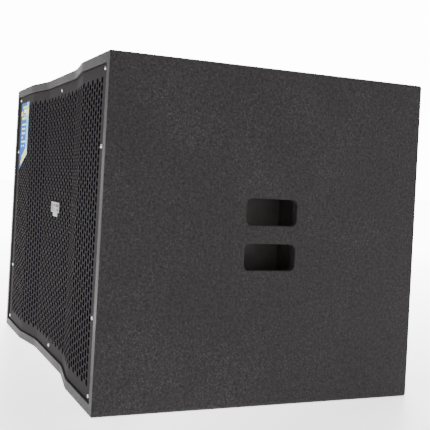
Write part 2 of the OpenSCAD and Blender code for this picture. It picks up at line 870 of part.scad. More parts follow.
// Corrugated suspension between the coil former and the basket's shelf
module woofer_spider() {
    wave_in = former_outer_r + spider_neck;
    wave_out = spider_outer_r - spider_lip;
    steps = spider_wave_steps * spider_waves;
    line = concat([[former_outer_r + spider_gap, spider_inner_z]],
        [for (i = [0:steps]) let (t = i / steps)
            [wave_in + (wave_out - wave_in) * t,
            spider_inner_z + (shelf_z - spider_inner_z) * t
                + spider_wave_h * sin(360 * spider_waves * t)]],
        [[spider_outer_r, shelf_z]]);
    color([0.8, 0.7, 0.3]) at_driver() rotate_extrude($fn = 96)
        polygon(concat(line, reversed(shifted(line, 0, spider_t))));
}

module magnet_top_plate() {
    color([0.5, 0.5, 0.5]) at_driver()
        ring_part(top_plate_inner_r, plate_r, magnet_top_z, top_plate_top_z);
}

module ferrite_magnet() {
    color([0.15, 0.15, 0.16]) at_driver()
        ring_part(magnet_inner_r, magnet_d / 2, magnet_bottom_z, magnet_top_z);
}

module pole_piece() {
    color([0.5, 0.5, 0.5]) at_driver() {
        ring_part(pole_vent_r, plate_r, magnet_bottom_z - back_plate_t, magnet_bottom_z);
        ring_part(pole_vent_r, pole_r, magnet_bottom_z - eps, pole_top_z);
    }
}

module woofer_bolts() {
    shank_l = flange_t + gasket_t + baffle_t;
    color([0.1, 0.1, 0.1]) at_driver() bolt_places()
        translate([0, 0, flange_t + gasket_t]) {
            difference() {
                cylinder(r = bolt_head_r, h = bolt_head_h);
                translate([0, 0, bolt_head_h - bolt_hex_depth])
                    cylinder(r = bolt_hex_r, h = bolt_hex_depth + cut, $fn = 6);
            }
            translate([0, 0, -shank_l]) cylinder(r = bolt_r, h = shank_l + eps);
        }
}

module woofer_tee_nuts() {
    color([0.7, 0.7, 0.66]) at_driver() bolt_places() translate([0, 0, -baffle_t]) {
        ring_part(nut_bore_r, nut_flange_r, -nut_flange_t, 0);
        ring_part(nut_bore_r, nut_hole_r, -eps, nut_barrel_l);
    }
}

// Places its children on the terminal board's outer face, with x across and y along it
module at_board() {
    at_driver() translate([0, -shelf_outer_r - board_t, shelf_z - shelf_t])
        rotate([90, 0, 0]) children();
}

// Board that carries the two terminals, glued to the flat pad on the basket's shelf
module terminal_board() {
    color([0.25, 0.14, 0.08]) at_board()
        translate([-board_w / 2, 0, -board_t]) cube([board_w, board_l, board_t]);
}

module terminal_lugs() {
    color([0.8, 0.7, 0.35]) at_board() for (x = [-1, 1])
        translate([x * lug_x - lug_w / 2, board_l - lug_edge - lug_l, 0])
            cube([lug_w, lug_l, lug_t]);
}

// Moulded plug under the board, pushed against the two lugs
module driver_plug() {
    color([0.07, 0.07, 0.07]) at_board() translate([-plug_w / 2, 0, 0])
        cube([plug_w, board_l - lug_edge - lug_l, plug_h]);
}

// Height of the cone's rear face at a radius
function cone_rear_z(r) = cone_neck_z - cone_t
    + (cone_front_z - cone_neck_z) * (r - former_outer_r) / (cone_lip_r - former_outer_r);

// Two braided leads from the lugs to the rear face of the cone
module tinsel_leads() {
    lug_y = -shelf_outer_r - board_t - lug_t / 2;
    lug_end_z = shelf_z - shelf_t + board_l - lug_edge;
    end_z = cone_rear_z(norm(tinsel_end)) - tinsel_gap;
    color([0.75, 0.55, 0.35]) at_driver() for (x = [-1, 1]) {
        bow = [for (p = tinsel_bow) [x * (lug_x + p[0]), lug_y + p[1], lug_end_z + p[2]]];
        route = concat([[x * lug_x, lug_y, lug_end_z]], bow,
            [[x * tinsel_end[0], tinsel_end[1], end_z]]);
        tube_along(smooth_route(route, cable_steps), tinsel_r, cable_sides);
    }
}

module port_tube(side, level) {
    color([0.1, 0.1, 0.1]) at_port(side, level) {
        ring_part(port_r, port_flange_r, 0, port_flange_t);
        ring_part(port_r, port_outer_r, -port_l, eps);
    }
}

module port_tube_lower_left() {
    port_tube(-1, -1);
}

module port_tube_lower_right() {
    port_tube(1, -1);
}

module port_tube_upper_left() {
    port_tube(-1, 1);
}

module port_tube_upper_right() {
    port_tube(1, 1);
}

module plate_screw_places() {
    dx = plate_w / 2 - plate_screw_edge;
    dz = plate_h / 2 - plate_screw_edge;
    for (x = [-dx, 0, dx]) for (z = [-dz, dz])
        translate([x, plate_y, plate_z + z]) rotate([-90, 0, 0]) children();
}

module at_socket(side) {
    translate([side * socket_pitch / 2, plate_y + plate_t, plate_z])
        rotate([-90, 0, 0]) children();
}

module socket_screw_places() {
    for (s = [-1, 1])
        translate([s * socket_screw_dx, s * socket_screw_dz, socket_flange_t]) children();
}

module connector_plate() {
    color([0.1, 0.1, 0.1]) difference() {
        translate([0, plate_y + plate_t, plate_z]) rotate([90, 0, 0])
            linear_extrude(plate_t) round_rect(plate_w, plate_h, plate_corner_r);
        for (side = [-1, 1]) at_socket(side) {
            translate([0, 0, -plate_t - cut]) cylinder(r = socket_hole_r, h = plate_t + 2 * cut);
            socket_screw_places() translate([0, 0, -plate_t - socket_flange_t - cut])
                cylinder(r = small_screw_r, h = plate_t + 2 * cut);
        }
        plate_screw_places() translate([0, 0, -cut])
            cylinder(r = plate_screw_r, h = plate_t + 2 * cut);
    }
}

// Round four-pole locking socket with its post set back in an open cavity
module link_socket(side) {
    color([0.07, 0.07, 0.075]) at_socket(side) difference() {
        union() {
            linear_extrude(socket_flange_t)
                round_rect(socket_flange_w, socket_flange_h, socket_flange_r);
            translate([0, 0, -socket_barrel_l])
                cylinder(r = socket_barrel_r, h = socket_barrel_l + eps);
        }
        translate([0, 0, socket_flange_t - socket_cavity_l]) difference() {
            cylinder(r = socket_cavity_r, h = socket_cavity_l + cut);
            translate([0, 0, -cut]) cylinder(r = socket_post_r,
                h = socket_cavity_l - socket_post_recess + cut);
        }
        socket_screw_places() translate([0, 0, -socket_flange_t - cut])
            cylinder(r = small_screw_r, h = socket_flange_t + 2 * cut);
    }
}

module link_socket_left() {
    link_socket(-1);
}

module link_socket_right() {
    link_socket(1);
}

module socket_contacts() {
    color([0.8, 0.7, 0.4]) for (side = [-1, 1]) at_socket(side) for (i = [0:3])
        rotate([0, 0, 90 * i + 45]) translate([contact_ring_r - contact_t / 2, -contact_w / 2,
            -socket_barrel_l - contact_l]) cube([contact_t, contact_w, contact_l]);
}

module socket_screws() {
    length = plate_t + socket_flange_t + small_screw_bite;
    color([0.15, 0.15, 0.15]) for (side = [-1, 1]) at_socket(side) socket_screw_places() {
        cylinder(r = small_screw_head_r, h = small_screw_head_h);
        translate([0, 0, -length]) cylinder(r = small_screw_r, h = length + eps);
    }
}

module connector_plate_screws() {
    color([0.15, 0.15, 0.15]) plate_screw_places() {
        translate([0, 0, plate_t]) cylinder(r = plate_screw_head_r, h = plate_screw_head_h);
        translate([0, 0, -plate_screw_l + cut])
            cylinder(r = plate_screw_r, h = plate_screw_l + plate_t - cut + eps);
    }
}

// Sleeves over the ends of the contacts, where the cables leave
module socket_boots() {
    color([0.06, 0.06, 0.06]) for (side = [-1, 1]) at_socket(side)
        translate([0, 0, -socket_barrel_l - contact_l - boot_l]) cylinder(r = boot_r, h = boot_l);
}

module driver_cable() {
    color([0.08, 0.08, 0.08]) tube_along(smooth_route(driver_route, cable_steps),
        cable_r, cable_sides);
}

module link_cable() {
    color([0.08, 0.08, 0.08]) tube_along(smooth_route(link_route, cable_steps),
        link_r, cable_sides);
}

module wadding_back() {
    low = panel_t + batten_w + wadding_clear;
    half_w = inner_half_w - batten_w - wadding_clear;
    window_w = plate_w + 2 * wadding_window;
    color([0.85, 0.85, 0.82]) difference() {
        translate([-half_w, back_inner_y - wadding_t, low])
            cube([2 * half_w, wadding_t, cab_h - 2 * low]);
        translate([-window_w / 2, back_inner_y - wadding_t - cut, low - cut])
            cube([window_w, wadding_t + 2 * cut, plate_z + plate_h / 2 - low + cut]);
    }
}

module wadding_floor() {
    low_y = baffle_back_y + batten_w + wadding_clear;
    half_w = inner_half_w - wadding_clear;
    color([0.85, 0.85, 0.82]) translate([-half_w, low_y, panel_t])
        cube([2 * half_w, brace_y - low_y - wadding_clear, wadding_t]);
}

module pole_screw_places() {
    for (i = [0:3]) translate([0, pole_y, cab_h - pole_flange_t])
        rotate([0, 0, 45 + 90 * i]) translate([pole_screw_pcd_r, 0, 0]) children();
}

// Flanged steel tube with a closed bottom, let into the top panel
module pole_socket() {
    outer_r = pole_bore_r + pole_wall;
    color([0.08, 0.08, 0.08]) difference() {
        union() {
            translate([0, pole_y, cab_h - pole_flange_t])
                cylinder(r = pole_flange_r, h = pole_flange_t);
            translate([0, pole_y, cab_h - pole_depth - pole_floor_t])
                cylinder(r = outer_r, h = pole_depth + pole_floor_t - eps);
        }
        translate([0, pole_y, cab_h - pole_depth]) cylinder(r = pole_bore_r, h = pole_depth + cut);
        pole_screw_places() translate([0, 0, -cut])
            cylinder(r = pole_screw_r, h = pole_flange_t + 2 * cut);
        pole_screw_places() translate([0, 0, pole_flange_t - pole_screw_head_h])
            cylinder(r1 = pole_screw_r, r2 = pole_screw_head_r, h = pole_screw_head_h);
    }
}

module pole_socket_screws() {
    color([0.12, 0.12, 0.12]) pole_screw_places() {
        translate([0, 0, pole_flange_t - pole_screw_head_h])
            cylinder(r1 = pole_screw_r, r2 = pole_screw_head_r, h = pole_screw_head_h);
        translate([0, 0, -pole_screw_l + cut])
            cylinder(r = pole_screw_r, h = pole_screw_l + pole_flange_t - pole_screw_head_h - cut);
    }
}

side_panel_left();
side_panel_right();
top_panel();
bottom_panel();
back_panel();
front_baffle();
window_brace();
baffle_battens();
back_battens();
grille_rail_left();
grille_rail_right();
grille_block_top();
grille_block_bottom();
hand_cup_left();
hand_cup_right();
hand_cup_screws();
grille();
grille_foam();
grille_screws();
badge_plate();
badge_clips();
front_label();
woofer_basket();
woofer_gasket();
woofer_surround();
woofer_cone();
dust_cap();
voice_coil_former();
voice_coil_winding();
woofer_spider();
magnet_top_plate();
ferrite_magnet();
pole_piece();
woofer_bolts();
woofer_tee_nuts();
terminal_board();
terminal_lugs();
tinsel_leads();
driver_plug();
port_tube_lower_left();
port_tube_lower_right();
port_tube_upper_left();
port_tube_upper_right();
connector_plate();
link_socket_left();
link_socket_right();
socket_contacts();
socket_screws();
connector_plate_screws();
socket_boots();
driver_cable();
link_cable();
wadding_back();
wadding_floor();
pole_socket();
pole_socket_screws();
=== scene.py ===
import json
import math

import bmesh
import bpy
from mathutils import Matrix, Vector


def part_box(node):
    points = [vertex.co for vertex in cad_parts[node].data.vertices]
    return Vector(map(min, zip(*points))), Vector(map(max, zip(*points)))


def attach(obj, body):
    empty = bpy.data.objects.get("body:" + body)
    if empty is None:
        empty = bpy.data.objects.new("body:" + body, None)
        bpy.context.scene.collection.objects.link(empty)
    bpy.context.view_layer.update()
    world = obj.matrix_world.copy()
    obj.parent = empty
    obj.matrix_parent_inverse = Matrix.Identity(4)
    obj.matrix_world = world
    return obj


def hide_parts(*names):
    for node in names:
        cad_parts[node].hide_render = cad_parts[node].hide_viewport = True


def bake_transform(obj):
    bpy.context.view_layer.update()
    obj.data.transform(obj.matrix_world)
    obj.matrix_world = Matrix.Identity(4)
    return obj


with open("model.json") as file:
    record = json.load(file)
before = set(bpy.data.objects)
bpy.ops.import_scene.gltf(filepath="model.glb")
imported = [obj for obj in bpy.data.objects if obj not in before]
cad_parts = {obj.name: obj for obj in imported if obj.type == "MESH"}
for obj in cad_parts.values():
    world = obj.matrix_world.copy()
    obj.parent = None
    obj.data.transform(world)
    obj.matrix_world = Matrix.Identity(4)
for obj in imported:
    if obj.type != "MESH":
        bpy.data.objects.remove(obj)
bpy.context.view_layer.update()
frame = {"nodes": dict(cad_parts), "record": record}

MM = 0.001
CABINET = "cabinet"

# The cabinet's planes, from the frame
panel_low, panel_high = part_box("side_panel_right")
HALF_W = panel_high.x
FRONT_Y = panel_low.y
REAR_Y = panel_high.y
HEIGHT = panel_high.z
WALL = panel_high.x - panel_low.x
INNER_HALF_W = HALF_W - WALL
EDGE_R = 6 * MM
FACE_EDGE_R = 2.5 * MM
INNER_EDGE_R = 0.8 * MM

grille_low, grille_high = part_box("grille")
front_xs = sorted({round(abs(v.co.x), 4) for v in frame["nodes"]["grille"].data.vertices
                   if v.co.z < grille_low.z + MM})
BEND_IN, BEND_OUT = front_xs[0], front_xs[-2]
SHEET_T = 1.5 * MM
RECESS = grille_high.y - grille_low.y - SHEET_T
GRILLE_EAR_Y = grille_low.y
GRILLE_MID_Y = grille_low.y + RECESS
BEND_SOFTNESS = 5 * MM

# Perforation of the grille
HOLE_PITCH = 13.4 * MM
HOLE_R = 6.0 * MM
COLUMN_STEP = 14.9 * MM
FIELD_COLUMNS = 49
FIELD_ROWS = 39

# Hand slots
SLOT_L = 101 * MM
SLOT_H = 47 * MM
SLOT_R = 10 * MM
SLOT_LIP = 2 * MM

# Strength of the light from the room and its horizon, from the white wall behind the cabinet,
# and from the floor near the cabinet and far behind it
ROOM_LIGHT = 0.7
HORIZON_LIGHT = 2.8
WALL_LIGHT = 14
FLOOR_LIGHT = 1.7
FAR_FLOOR_LIGHT = 9
WALL_DIRECTION = (-0.91, 0.414, 0.0)

# Camera
CAMERA_PLACE = (1.6313, -0.6708, 0.3947)
CAMERA_AZIMUTH, CAMERA_TILT, CAMERA_ROLL = -67.1, -0.03, 3.06
CAMERA_LENS = 65.43
CAMERA_SHIFT = (0.05, -0.08)


# ---------------------------------------------------------------- mesh helpers

def mesh_piece(name, verts, faces, material, body=CABINET, sharp=35, weighted=False):
    """A mesh object with outward normals, smooth but for edges sharper than the given angle."""
    mesh = bpy.data.meshes.new(name)
    mesh.from_pydata([tuple(v) for v in verts], [], faces)
    return finish_mesh(name, mesh, material, body, sharp, weighted)


def finish_mesh(name, mesh, material, body=CABINET, sharp=35, weighted=False):
    """The mesh cleaned, shaded and set riding on its body; without a body it is left unattached."""
    bm = bmesh.new()
    bm.from_mesh(mesh)
    bmesh.ops.remove_doubles(bm, verts=bm.verts, dist=1e-6)
    bmesh.ops.dissolve_degenerate(bm, edges=bm.edges, dist=1e-7)
    bmesh.ops.recalc_face_normals(bm, faces=bm.faces)
    for face in bm.faces:
        face.smooth = True
    bm.to_mesh(mesh)
    bm.free()
    mesh.set_sharp_from_angle(angle=math.radians(sharp))
    mesh.materials.clear()
    mesh.materials.append(material)
    piece = bpy.data.objects.new(name, mesh)
    bpy.context.scene.collection.objects.link(piece)
    if weighted:
        modifier = piece.modifiers.new("flat_faces", "WEIGHTED_NORMAL")
        modifier.keep_sharp = True
        modifier.weight = 100
    if body:
        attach(piece, body)
    return piece


def lathe(profile, segments):
    """Vertices and faces of a closed profile of (radius, height) points turned round the Z axis."""
    verts = []
    faces = []
    for k in range(segments):
        turn = 2 * math.pi * k / segments
        for radius, height in profile:
            verts.append(Vector((radius * math.cos(turn), radius * math.sin(turn), height)))
    count = len(profile)
    for k in range(segments):
        for i in range(count):
            a = k * count + i
            b = k * count + (i + 1) % count
            c = ((k + 1) % segments) * count
            faces.append((a, b, c + (i + 1) % count, c + i))
    return verts, faces


def moved(verts, matrix):
    """The vertices carried by a matrix."""
    return [matrix @ Vector(v) for v in verts]


def joined(parts):
    """One list of vertices and one of faces from several pairs."""
    verts = []
    faces = []
    for part_verts, part_faces in parts:
        base = len(verts)
        verts.extend(part_verts)
        faces.extend(tuple(i + base for i in face) for face in part_faces)
    return verts, faces


def round_rect(width, height, radius, steps):
    """Points of a rectangle with round corners, centred, anticlockwise."""
    points = []
    corners = ((1, 1, 0), (-1, 1, 90), (-1, -1, 180), (1, -1, 270))
    for sx, sy, start in corners:
        for k in range(steps + 1):
            turn = math.radians(start + 90 * k / steps)
            points.append((sx * (width / 2 - radius) + radius * math.cos(turn),
                           sy * (height / 2 - radius) + radius * math.sin(turn)))
    return points


def soft_box(low, high, radius, steps=3):
    """A box with rounded edges, as vertices and faces."""
    bm = bmesh.new()
    bmesh.ops.create_cube(bm, size=1)
    size = Vector(high) - Vector(low)
    middle = (Vector(high) + Vector(low)) / 2
    bmesh.ops.scale(bm, vec=size, verts=bm.verts)
    bmesh.ops.translate(bm, vec=middle, verts=bm.verts)
    bmesh.ops.bevel(bm, geom=bm.edges[:], offset=radius, segments=steps, profile=0.5,
                    affect="EDGES")
    return bm_lists(bm)


def bm_lists(bm):
    """Vertices and faces of a bmesh, which is freed."""
    bm.verts.index_update()
    verts = [v.co.copy() for v in bm.verts]
    faces = [tuple(v.index for v in f.verts) for f in bm.faces]
    bm.free()
    return verts, faces


# ---------------------------------------------------------------- material helpers

class Material:
    """A Principled material with short calls for the nodes that these looks need."""

    def __init__(self, name, colour, roughness, metallic=0.0, specular=0.5):
        self.material = bpy.data.materials.new(name)
        self.material.use_nodes = True
        self.nodes = self.material.node_tree.nodes
        self.links = self.material.node_tree.links
        self.shader = self.nodes["Principled BSDF"]
        self.shader.inputs["Base Color"].default_value = (*colour, 1)
        self.shader.inputs["Roughness"].default_value = roughness
        self.shader.inputs["Metallic"].default_value = metallic
        self.shader.inputs["Specular IOR Level"].default_value = specular
        self.material.diffuse_color = (*colour, 1)
        self.coords = self.nodes.new("ShaderNodeTexCoord").outputs["Object"]
        self.height = None

    def stretched(self, factors):
        """Object coordinates scaled by a factor along each axis."""
        mapping = self.nodes.new("ShaderNodeMapping")
        mapping.inputs["Scale"].default_value = factors
        self.links.new(self.coords, mapping.inputs["Vector"])
        return mapping.outputs["Vector"]

    def noise(self, scale, detail=3, roughness=0.5, coords=None):
        node = self.nodes.new("ShaderNodeTexNoise")
        node.inputs["Scale"].default_value = scale
        node.inputs["Detail"].default_value = detail
        node.inputs["Roughness"].default_value = roughness
        self.links.new(coords or self.coords, node.inputs["Vector"])
        return node.outputs["Fac"]

    def cells(self, scale, feature="SMOOTH_F1"):
        node = self.nodes.new("ShaderNodeTexVoronoi")
        node.feature = feature
        node.inputs["Scale"].default_value = scale
        self.links.new(self.coords, node.inputs["Vector"])
        return node.outputs["Distance"]

    def math(self, operation, a, b=0.0):
        node = self.nodes.new("ShaderNodeMath")
        node.operation = operation
        for socket, value in zip(node.inputs, (a, b)):
            if isinstance(value, (int, float)):
                socket.default_value = value
            else:
                self.links.new(value, socket)
        return node.outputs["Value"]

    def span(self, value, low, high, to_low, to_high):
        """A value mapped from one range to another, clamped."""
        node = self.nodes.new("ShaderNodeMapRange")
        for name, number in (("From Min", low), ("From Max", high),
                             ("To Min", to_low), ("To Max", to_high)):
            node.inputs[name].default_value = number
        self.links.new(value, node.inputs["Value"])
        return node.outputs["Result"]

    def blend(self, factor, first, second):
        """A colour between two: each is a tuple or an output."""
        node = self.nodes.new("ShaderNodeMix")
        node.data_type = "RGBA"
        self.links.new(factor, node.inputs["Factor"])
        colour_inputs = node.inputs[6], node.inputs[7]
        for socket, value in zip(colour_inputs, (first, second)):
            if isinstance(value, tuple):
                socket.default_value = (*value, 1)
            else:
                self.links.new(value, socket)
        return node.outputs[2]

    def colour(self, output):
        self.links.new(output, self.shader.inputs["Base Color"])

    def rough(self, output):
        self.links.new(output, self.shader.inputs["Roughness"])

    def bump(self, height, distance, strength=1.0):
        """Adds a height, in metres at full scale, on top of the bumps there are."""
        node = self.nodes.new("ShaderNodeBump")
        node.inputs["Strength"].default_value = strength
        node.inputs["Distance"].default_value = distance
        self.links.new(height, node.inputs["Height"])
        if self.height is not None:
            self.links.new(self.height, node.inputs["Normal"])
        self.height = node.outputs["Normal"]
        self.links.new(self.height, self.shader.inputs["Normal"])

    def axis(self, index):
        """One of the object coordinates, in metres."""
        node = self.nodes.new("ShaderNodeSeparateXYZ")
        self.links.new(self.coords, node.inputs["Vector"])
        return node.outputs[index]


def textured_paint(name, dark, light, grain_mm, depth_mm, roughness, speck=None):
    """Sprayed structure paint: pebbled grain, faint blotches and, with a speck colour, lighter specks.
    """
    m = Material(name, dark, roughness, specular=0.15)
    grain = m.noise(1 / (grain_mm * MM), 2, 0.6)
    pebble = m.cells(0.8 / (grain_mm * MM))
    cloud = m.noise(9, 3)
    tone = m.math("ADD", m.math("MULTIPLY", grain, 0.82), m.math("MULTIPLY", cloud, 0.18))
    out = m.blend(m.span(tone, 0.35, 0.65, 0, 1), dark, light)
    if speck:
        fine = m.noise(1.5 / (grain_mm * MM), 3, 0.7)
        # Where the noise is highest the paint takes the lighter speck colour.
        speck_field = m.math("ADD", m.math("MULTIPLY", fine, 0.8), m.math("MULTIPLY", m.noise(7, 2), 0.2))
        out = m.blend(m.span(speck_field, 0.54, 0.66, 0, 1), out, speck)
    m.colour(out)
    m.rough(m.span(cloud, 0.3, 0.7, roughness - 0.06, roughness + 0.06))
    m.bump(pebble, depth_mm * MM, 0.5)
    m.bump(grain, depth_mm * MM, 0.8)
    return m.material


def sheet_paint(name, dark, light, hole_wall_shade):
    """Fine structure paint on perforated sheet; the walls of the holes get a near-black painted shade in
    place of paint.
    """
    m = Material(name, dark, 0.8, specular=0.02)
    grain = m.noise(800, 2, 0.6)
    cloud = m.noise(14, 3)
    tone = m.math("ADD", m.math("MULTIPLY", grain, 0.6), m.math("MULTIPLY", cloud, 0.4))
    paint = m.blend(m.span(tone, 0.35, 0.65, 0, 1), dark, light)
    # Painted shade: faces that don't face forward, the walls of the holes, take the near-black colour.
    facing = m.nodes.new("ShaderNodeSeparateXYZ")
    surface = m.nodes.new("ShaderNodeNewGeometry")
    m.links.new(surface.outputs["True Normal"], facing.inputs["Vector"])
    flat = m.span(m.math("ABSOLUTE", facing.outputs["Y"]), 0.5, 0.8, 0, 1)
    m.colour(m.blend(flat, hole_wall_shade, paint))
    m.rough(m.span(cloud, 0.3, 0.7, 0.72, 0.85))
    m.bump(grain, 0.2 * MM, 0.6)
    return m.material


def moulded(name, colour, roughness, grain=900, depth=0.15):
    """Fine-textured black plastic or enamel."""
    m = Material(name, colour, roughness)
    fine = m.noise(grain, 2)
    lift = tuple(min(1, c * 1.35 + 0.004) for c in colour)
    m.colour(m.blend(m.span(m.noise(25, 3), 0.3, 0.7, 0, 1), colour, lift))
    m.rough(m.span(m.noise(60, 2), 0.3, 0.7, roughness - 0.07, roughness + 0.07))
    m.bump(fine, depth * MM, 0.5)
    return m.material


def worked_metal(name, colour, roughness, stretch=(1, 1, 1), scale=900, metallic=1.0):
    """Metal with fine working marks, stretched along an axis, and faint staining."""
    m = Material(name, colour, roughness, metallic)
    marks = m.noise(scale, 3, 0.6, m.stretched(stretch))
    dull = tuple(c * 0.8 for c in colour)
    m.colour(m.blend(m.span(m.noise(70, 3), 0.35, 0.65, 0, 1), colour, dull))
    m.rough(m.span(marks, 0.3, 0.7, roughness - 0.08, roughness + 0.12))
    m.bump(marks, 0.03 * MM, 0.4)
    return m.material


def plywood(name, colour, dark):
    """Birch ply: long grain, pores and darker glue lines."""
    m = Material(name, colour, 0.6, specular=0.3)
    grain = m.noise(30, 5, 0.6, m.stretched((1, 12, 12)))
    pores = m.noise(220, 2, 0.5, m.stretched((1, 9, 9)))
    tone = m.math("ADD", m.math("MULTIPLY", grain, 0.7), m.math("MULTIPLY", pores, 0.3))
    m.colour(m.blend(m.span(tone, 0.3, 0.7, 0, 1), colour, dark))
    m.rough(m.span(pores, 0.3, 0.7, 0.5, 0.7))
    m.bump(pores, 0.1 * MM, 0.4)
    return m.material


def open_foam(name, colour):
    """Open-cell foam: pits between fine ribs, the pits painted darker than the ribs as painted shade."""
    m = Material(name, colour, 0.95, specular=0.02)
    pits = m.cells(700, "F1")
    lump = m.noise(40, 3)
    lift = tuple(c * 2.2 for c in colour)
    # Painted shade: the pits keep the dark colour and the ribs get the lighter one.
    m.colour(m.blend(m.span(pits, 0.1, 0.6, 0, 1), colour, lift))
    m.bump(pits, 0.8 * MM, 0.8)
    m.bump(lump, 1.5 * MM, 0.5)
    return m.material


def fibre(name, colour, shade, scale=160):
    """Matted or woven fibre."""
    m = Material(name, colour, 0.95, specular=0.1)
    strands = m.noise(scale, 6, 0.7, m.stretched((1, 0.35, 1)))
    m.colour(m.blend(m.span(strands, 0.35, 0.65, 0, 1), colour, shade))
    m.bump(strands, 1.2 * MM, 0.7)
    m.shader.inputs["Sheen Weight"].default_value = 0.25
    return m.material


def woven(name, colour, shade, thread_mm):
    """Plain cloth under a coat of dope: crossed threads."""
    m = Material(name, colour, 0.7, specular=0.35)
    turns = 2 * math.pi / (thread_mm * MM)
    across = m.math("SINE", m.math("MULTIPLY", m.axis(0), turns))
    along = m.math("SINE", m.math("MULTIPLY", m.axis(2), turns))
    weave = m.math("MULTIPLY", across, along)
    m.colour(m.blend(m.span(weave, -1, 1, 0, 1), colour, shade))
    m.bump(weave, 0.15 * MM, 0.5)
    m.bump(m.noise(60, 3), 0.6 * MM, 0.4)
    return m.material


def printed(m, under, across, up, blocks):
    """Plain blocks over a ground: each is (from, to) across, (from, to) up, and a colour."""
    def inside(value, limits):
        above = m.math("GREATER_THAN", value, limits[0])
        return m.math("MULTIPLY", above, m.math("LESS_THAN", value, limits[1]))

    for xs, zs, colour in blocks:
        under = m.blend(m.math("MULTIPLY", inside(across, xs), inside(up, zs)), under, colour)
    return under


def label_vinyl(name, box):
    """Printed vinyl: plain bars of colour in place of print, and a stroke along its slanted foot."""
    low, high = box
    m = Material(name, (0.02, 0.2, 0.5), 0.6, specular=0.04)
    across = m.span(m.axis(0), low.x, high.x, 0, 1)
    up = m.span(m.axis(2), low.z, high.z, 0, 1)
    blue = (0.0, 0.085, 0.29)
    deep = (0.003, 0.035, 0.24)
    pale = (0.17, 0.36, 0.6)
    white = (0.6, 0.6, 0.6)
    dark = (0.05, 0.06, 0.12)
    yellow = (0.66, 0.62, 0.0)
    shade = m.math("ADD", up, m.math("MULTIPLY", m.noise(30, 2), 0.2))
    ground = m.blend(m.span(shade, 0.1, 0.7, 0, 1), deep, blue)
    bars = [
        ((0.74, 1.01), (-0.01, 1.01), pale),
        ((0.3, 0.82), (0.8, 0.9), white),
        ((0.36, 0.6), (0.81, 0.85), dark),
        ((0.22, 0.8), (0.915, 0.95), yellow),
        ((0.14, 0.76), (0.75, 0.785), yellow),
        ((-0.01, 0.17), (0.81, 0.88), yellow),
        ((0.86, 1.01), (0.83, 0.9), yellow),
    ]
    line_start, line_half = 0.16, 0.012
    lines = ((0.675, 0.72), (0.61, 0.62), (0.545, 0.6), (0.48, 0.34), (0.418, 0.72), (0.355, 0.26))
    for level, line_end in lines:
        bars.append(((line_start, line_end), (level - line_half, level + line_half), white))
    bars.append(((0.4, 0.55), (0.343, 0.367), white))
    out = printed(m, ground, across, up, bars)
    above_foot = m.math("SUBTRACT", up, m.math("MULTIPLY", across, 1 - label_edge_ratio(box)))
    strokes = [((0.2, 0.97), (0.015, 0.085), yellow), ((0.3, 0.9), (0.1, 0.13), white)]
    m.colour(printed(m, out, across, above_foot, strokes))
    m.bump(m.noise(300, 2), 0.1 * MM, 0.3)
    return m.material


def label_edge_ratio(box):
    """Length of the label's inner edge as a share of its outer edge."""
    low, high = box
    inner = [v.co.z for v in frame["nodes"]["front_label"].data.vertices if v.co.x > high.x - MM]
    return (high.z - min(inner)) / (high.z - low.z)


def printed_metal(name, colour, box):
    """Brushed plate with plain dark bars."""
    low, high = box
    m = Material(name, colour, 0.5, 0.35, specular=0.2)
    marks = m.noise(500, 3, 0.6, m.stretched((14, 1, 1)))
    across = m.span(m.axis(0), low.x, high.x, 0, 1)
    up = m.span(m.axis(2), low.z, high.z, 0, 1)
    dark = (0.004, 0.004, 0.008)
    dull = tuple(c * 0.85 for c in colour)
    ground = m.blend(m.span(m.noise(90, 3), 0.35, 0.65, 0, 1), colour, dull)
    bars = [
        ((0.1, 0.24), (0.4, 0.88), dark),
        ((0.32, 0.52), (0.68, 0.86), dark),
        ((0.32, 0.44), (0.4, 0.56), dark),
        ((0.6, 0.9), (0.68, 0.86), dark),
        ((0.66, 0.9), (0.4, 0.56), dark),
    ]
    m.colour(printed(m, ground, across, up, bars))
    m.rough(m.span(marks, 0.3, 0.7, 0.45, 0.6))
    m.bump(marks, 0.03 * MM, 0.4)
    return m.material


CABINET_PAINT = textured_paint("cabinet_paint", (0.0068, 0.0061, 0.0063), (0.0205, 0.0184, 0.019),
                               4.6, 0.6, 0.62, speck=(0.038, 0.034, 0.035))
# The grille's hole walls get a near-black painted shade.
GRILLE_PAINT = sheet_paint("grille_paint", (0.014, 0.0127, 0.0129), (0.026, 0.0236, 0.024),
                           hole_wall_shade=(0.0006, 0.0006, 0.0014))
BAFFLE_PAINT = textured_paint("baffle_paint", (0.012, 0.012, 0.012), (0.02, 0.02, 0.02), 2.2, 0.3, 0.75)
BARE_PLY = plywood("bare_plywood", (0.55, 0.4, 0.25), (0.38, 0.25, 0.14))
FOAM = open_foam("grille_foam", (0.0025, 0.0025, 0.004))
ZINC = worked_metal("zinc_screw", (0.5, 0.5, 0.49), 0.35)
BLACK_SCREW = worked_metal("black_screw", (0.035, 0.035, 0.035), 0.45, metallic=0.6)
BADGE = printed_metal("badge_metal", (0.2, 0.2, 0.205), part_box("badge_plate"))
CUP = moulded("cup_plastic", (0.016, 0.013, 0.012), 0.6)
BASKET = moulded("basket_cast", (0.02, 0.02, 0.021), 0.45, 500, 0.3)
GASKET = fibre("gasket_board", (0.05, 0.045, 0.04), (0.03, 0.027, 0.025), 400)
SURROUND = woven("surround_cloth", (0.012, 0.012, 0.014), (0.024, 0.024, 0.027), 1.2)
CONE_PAPER = fibre("cone_paper", (0.018, 0.018, 0.019), (0.009, 0.009, 0.01), 260)
CAP_PAPER = fibre("cap_paper", (0.014, 0.014, 0.015), (0.008, 0.008, 0.009), 320)
FORMER = moulded("former_film", (0.5, 0.33, 0.1), 0.35)
COPPER = worked_metal("copper_wire", (0.72, 0.33, 0.15), 0.35, (1, 30, 1), 600)
SPIDER = woven("spider_cloth", (0.55, 0.38, 0.12), (0.36, 0.24, 0.07), 1.0)
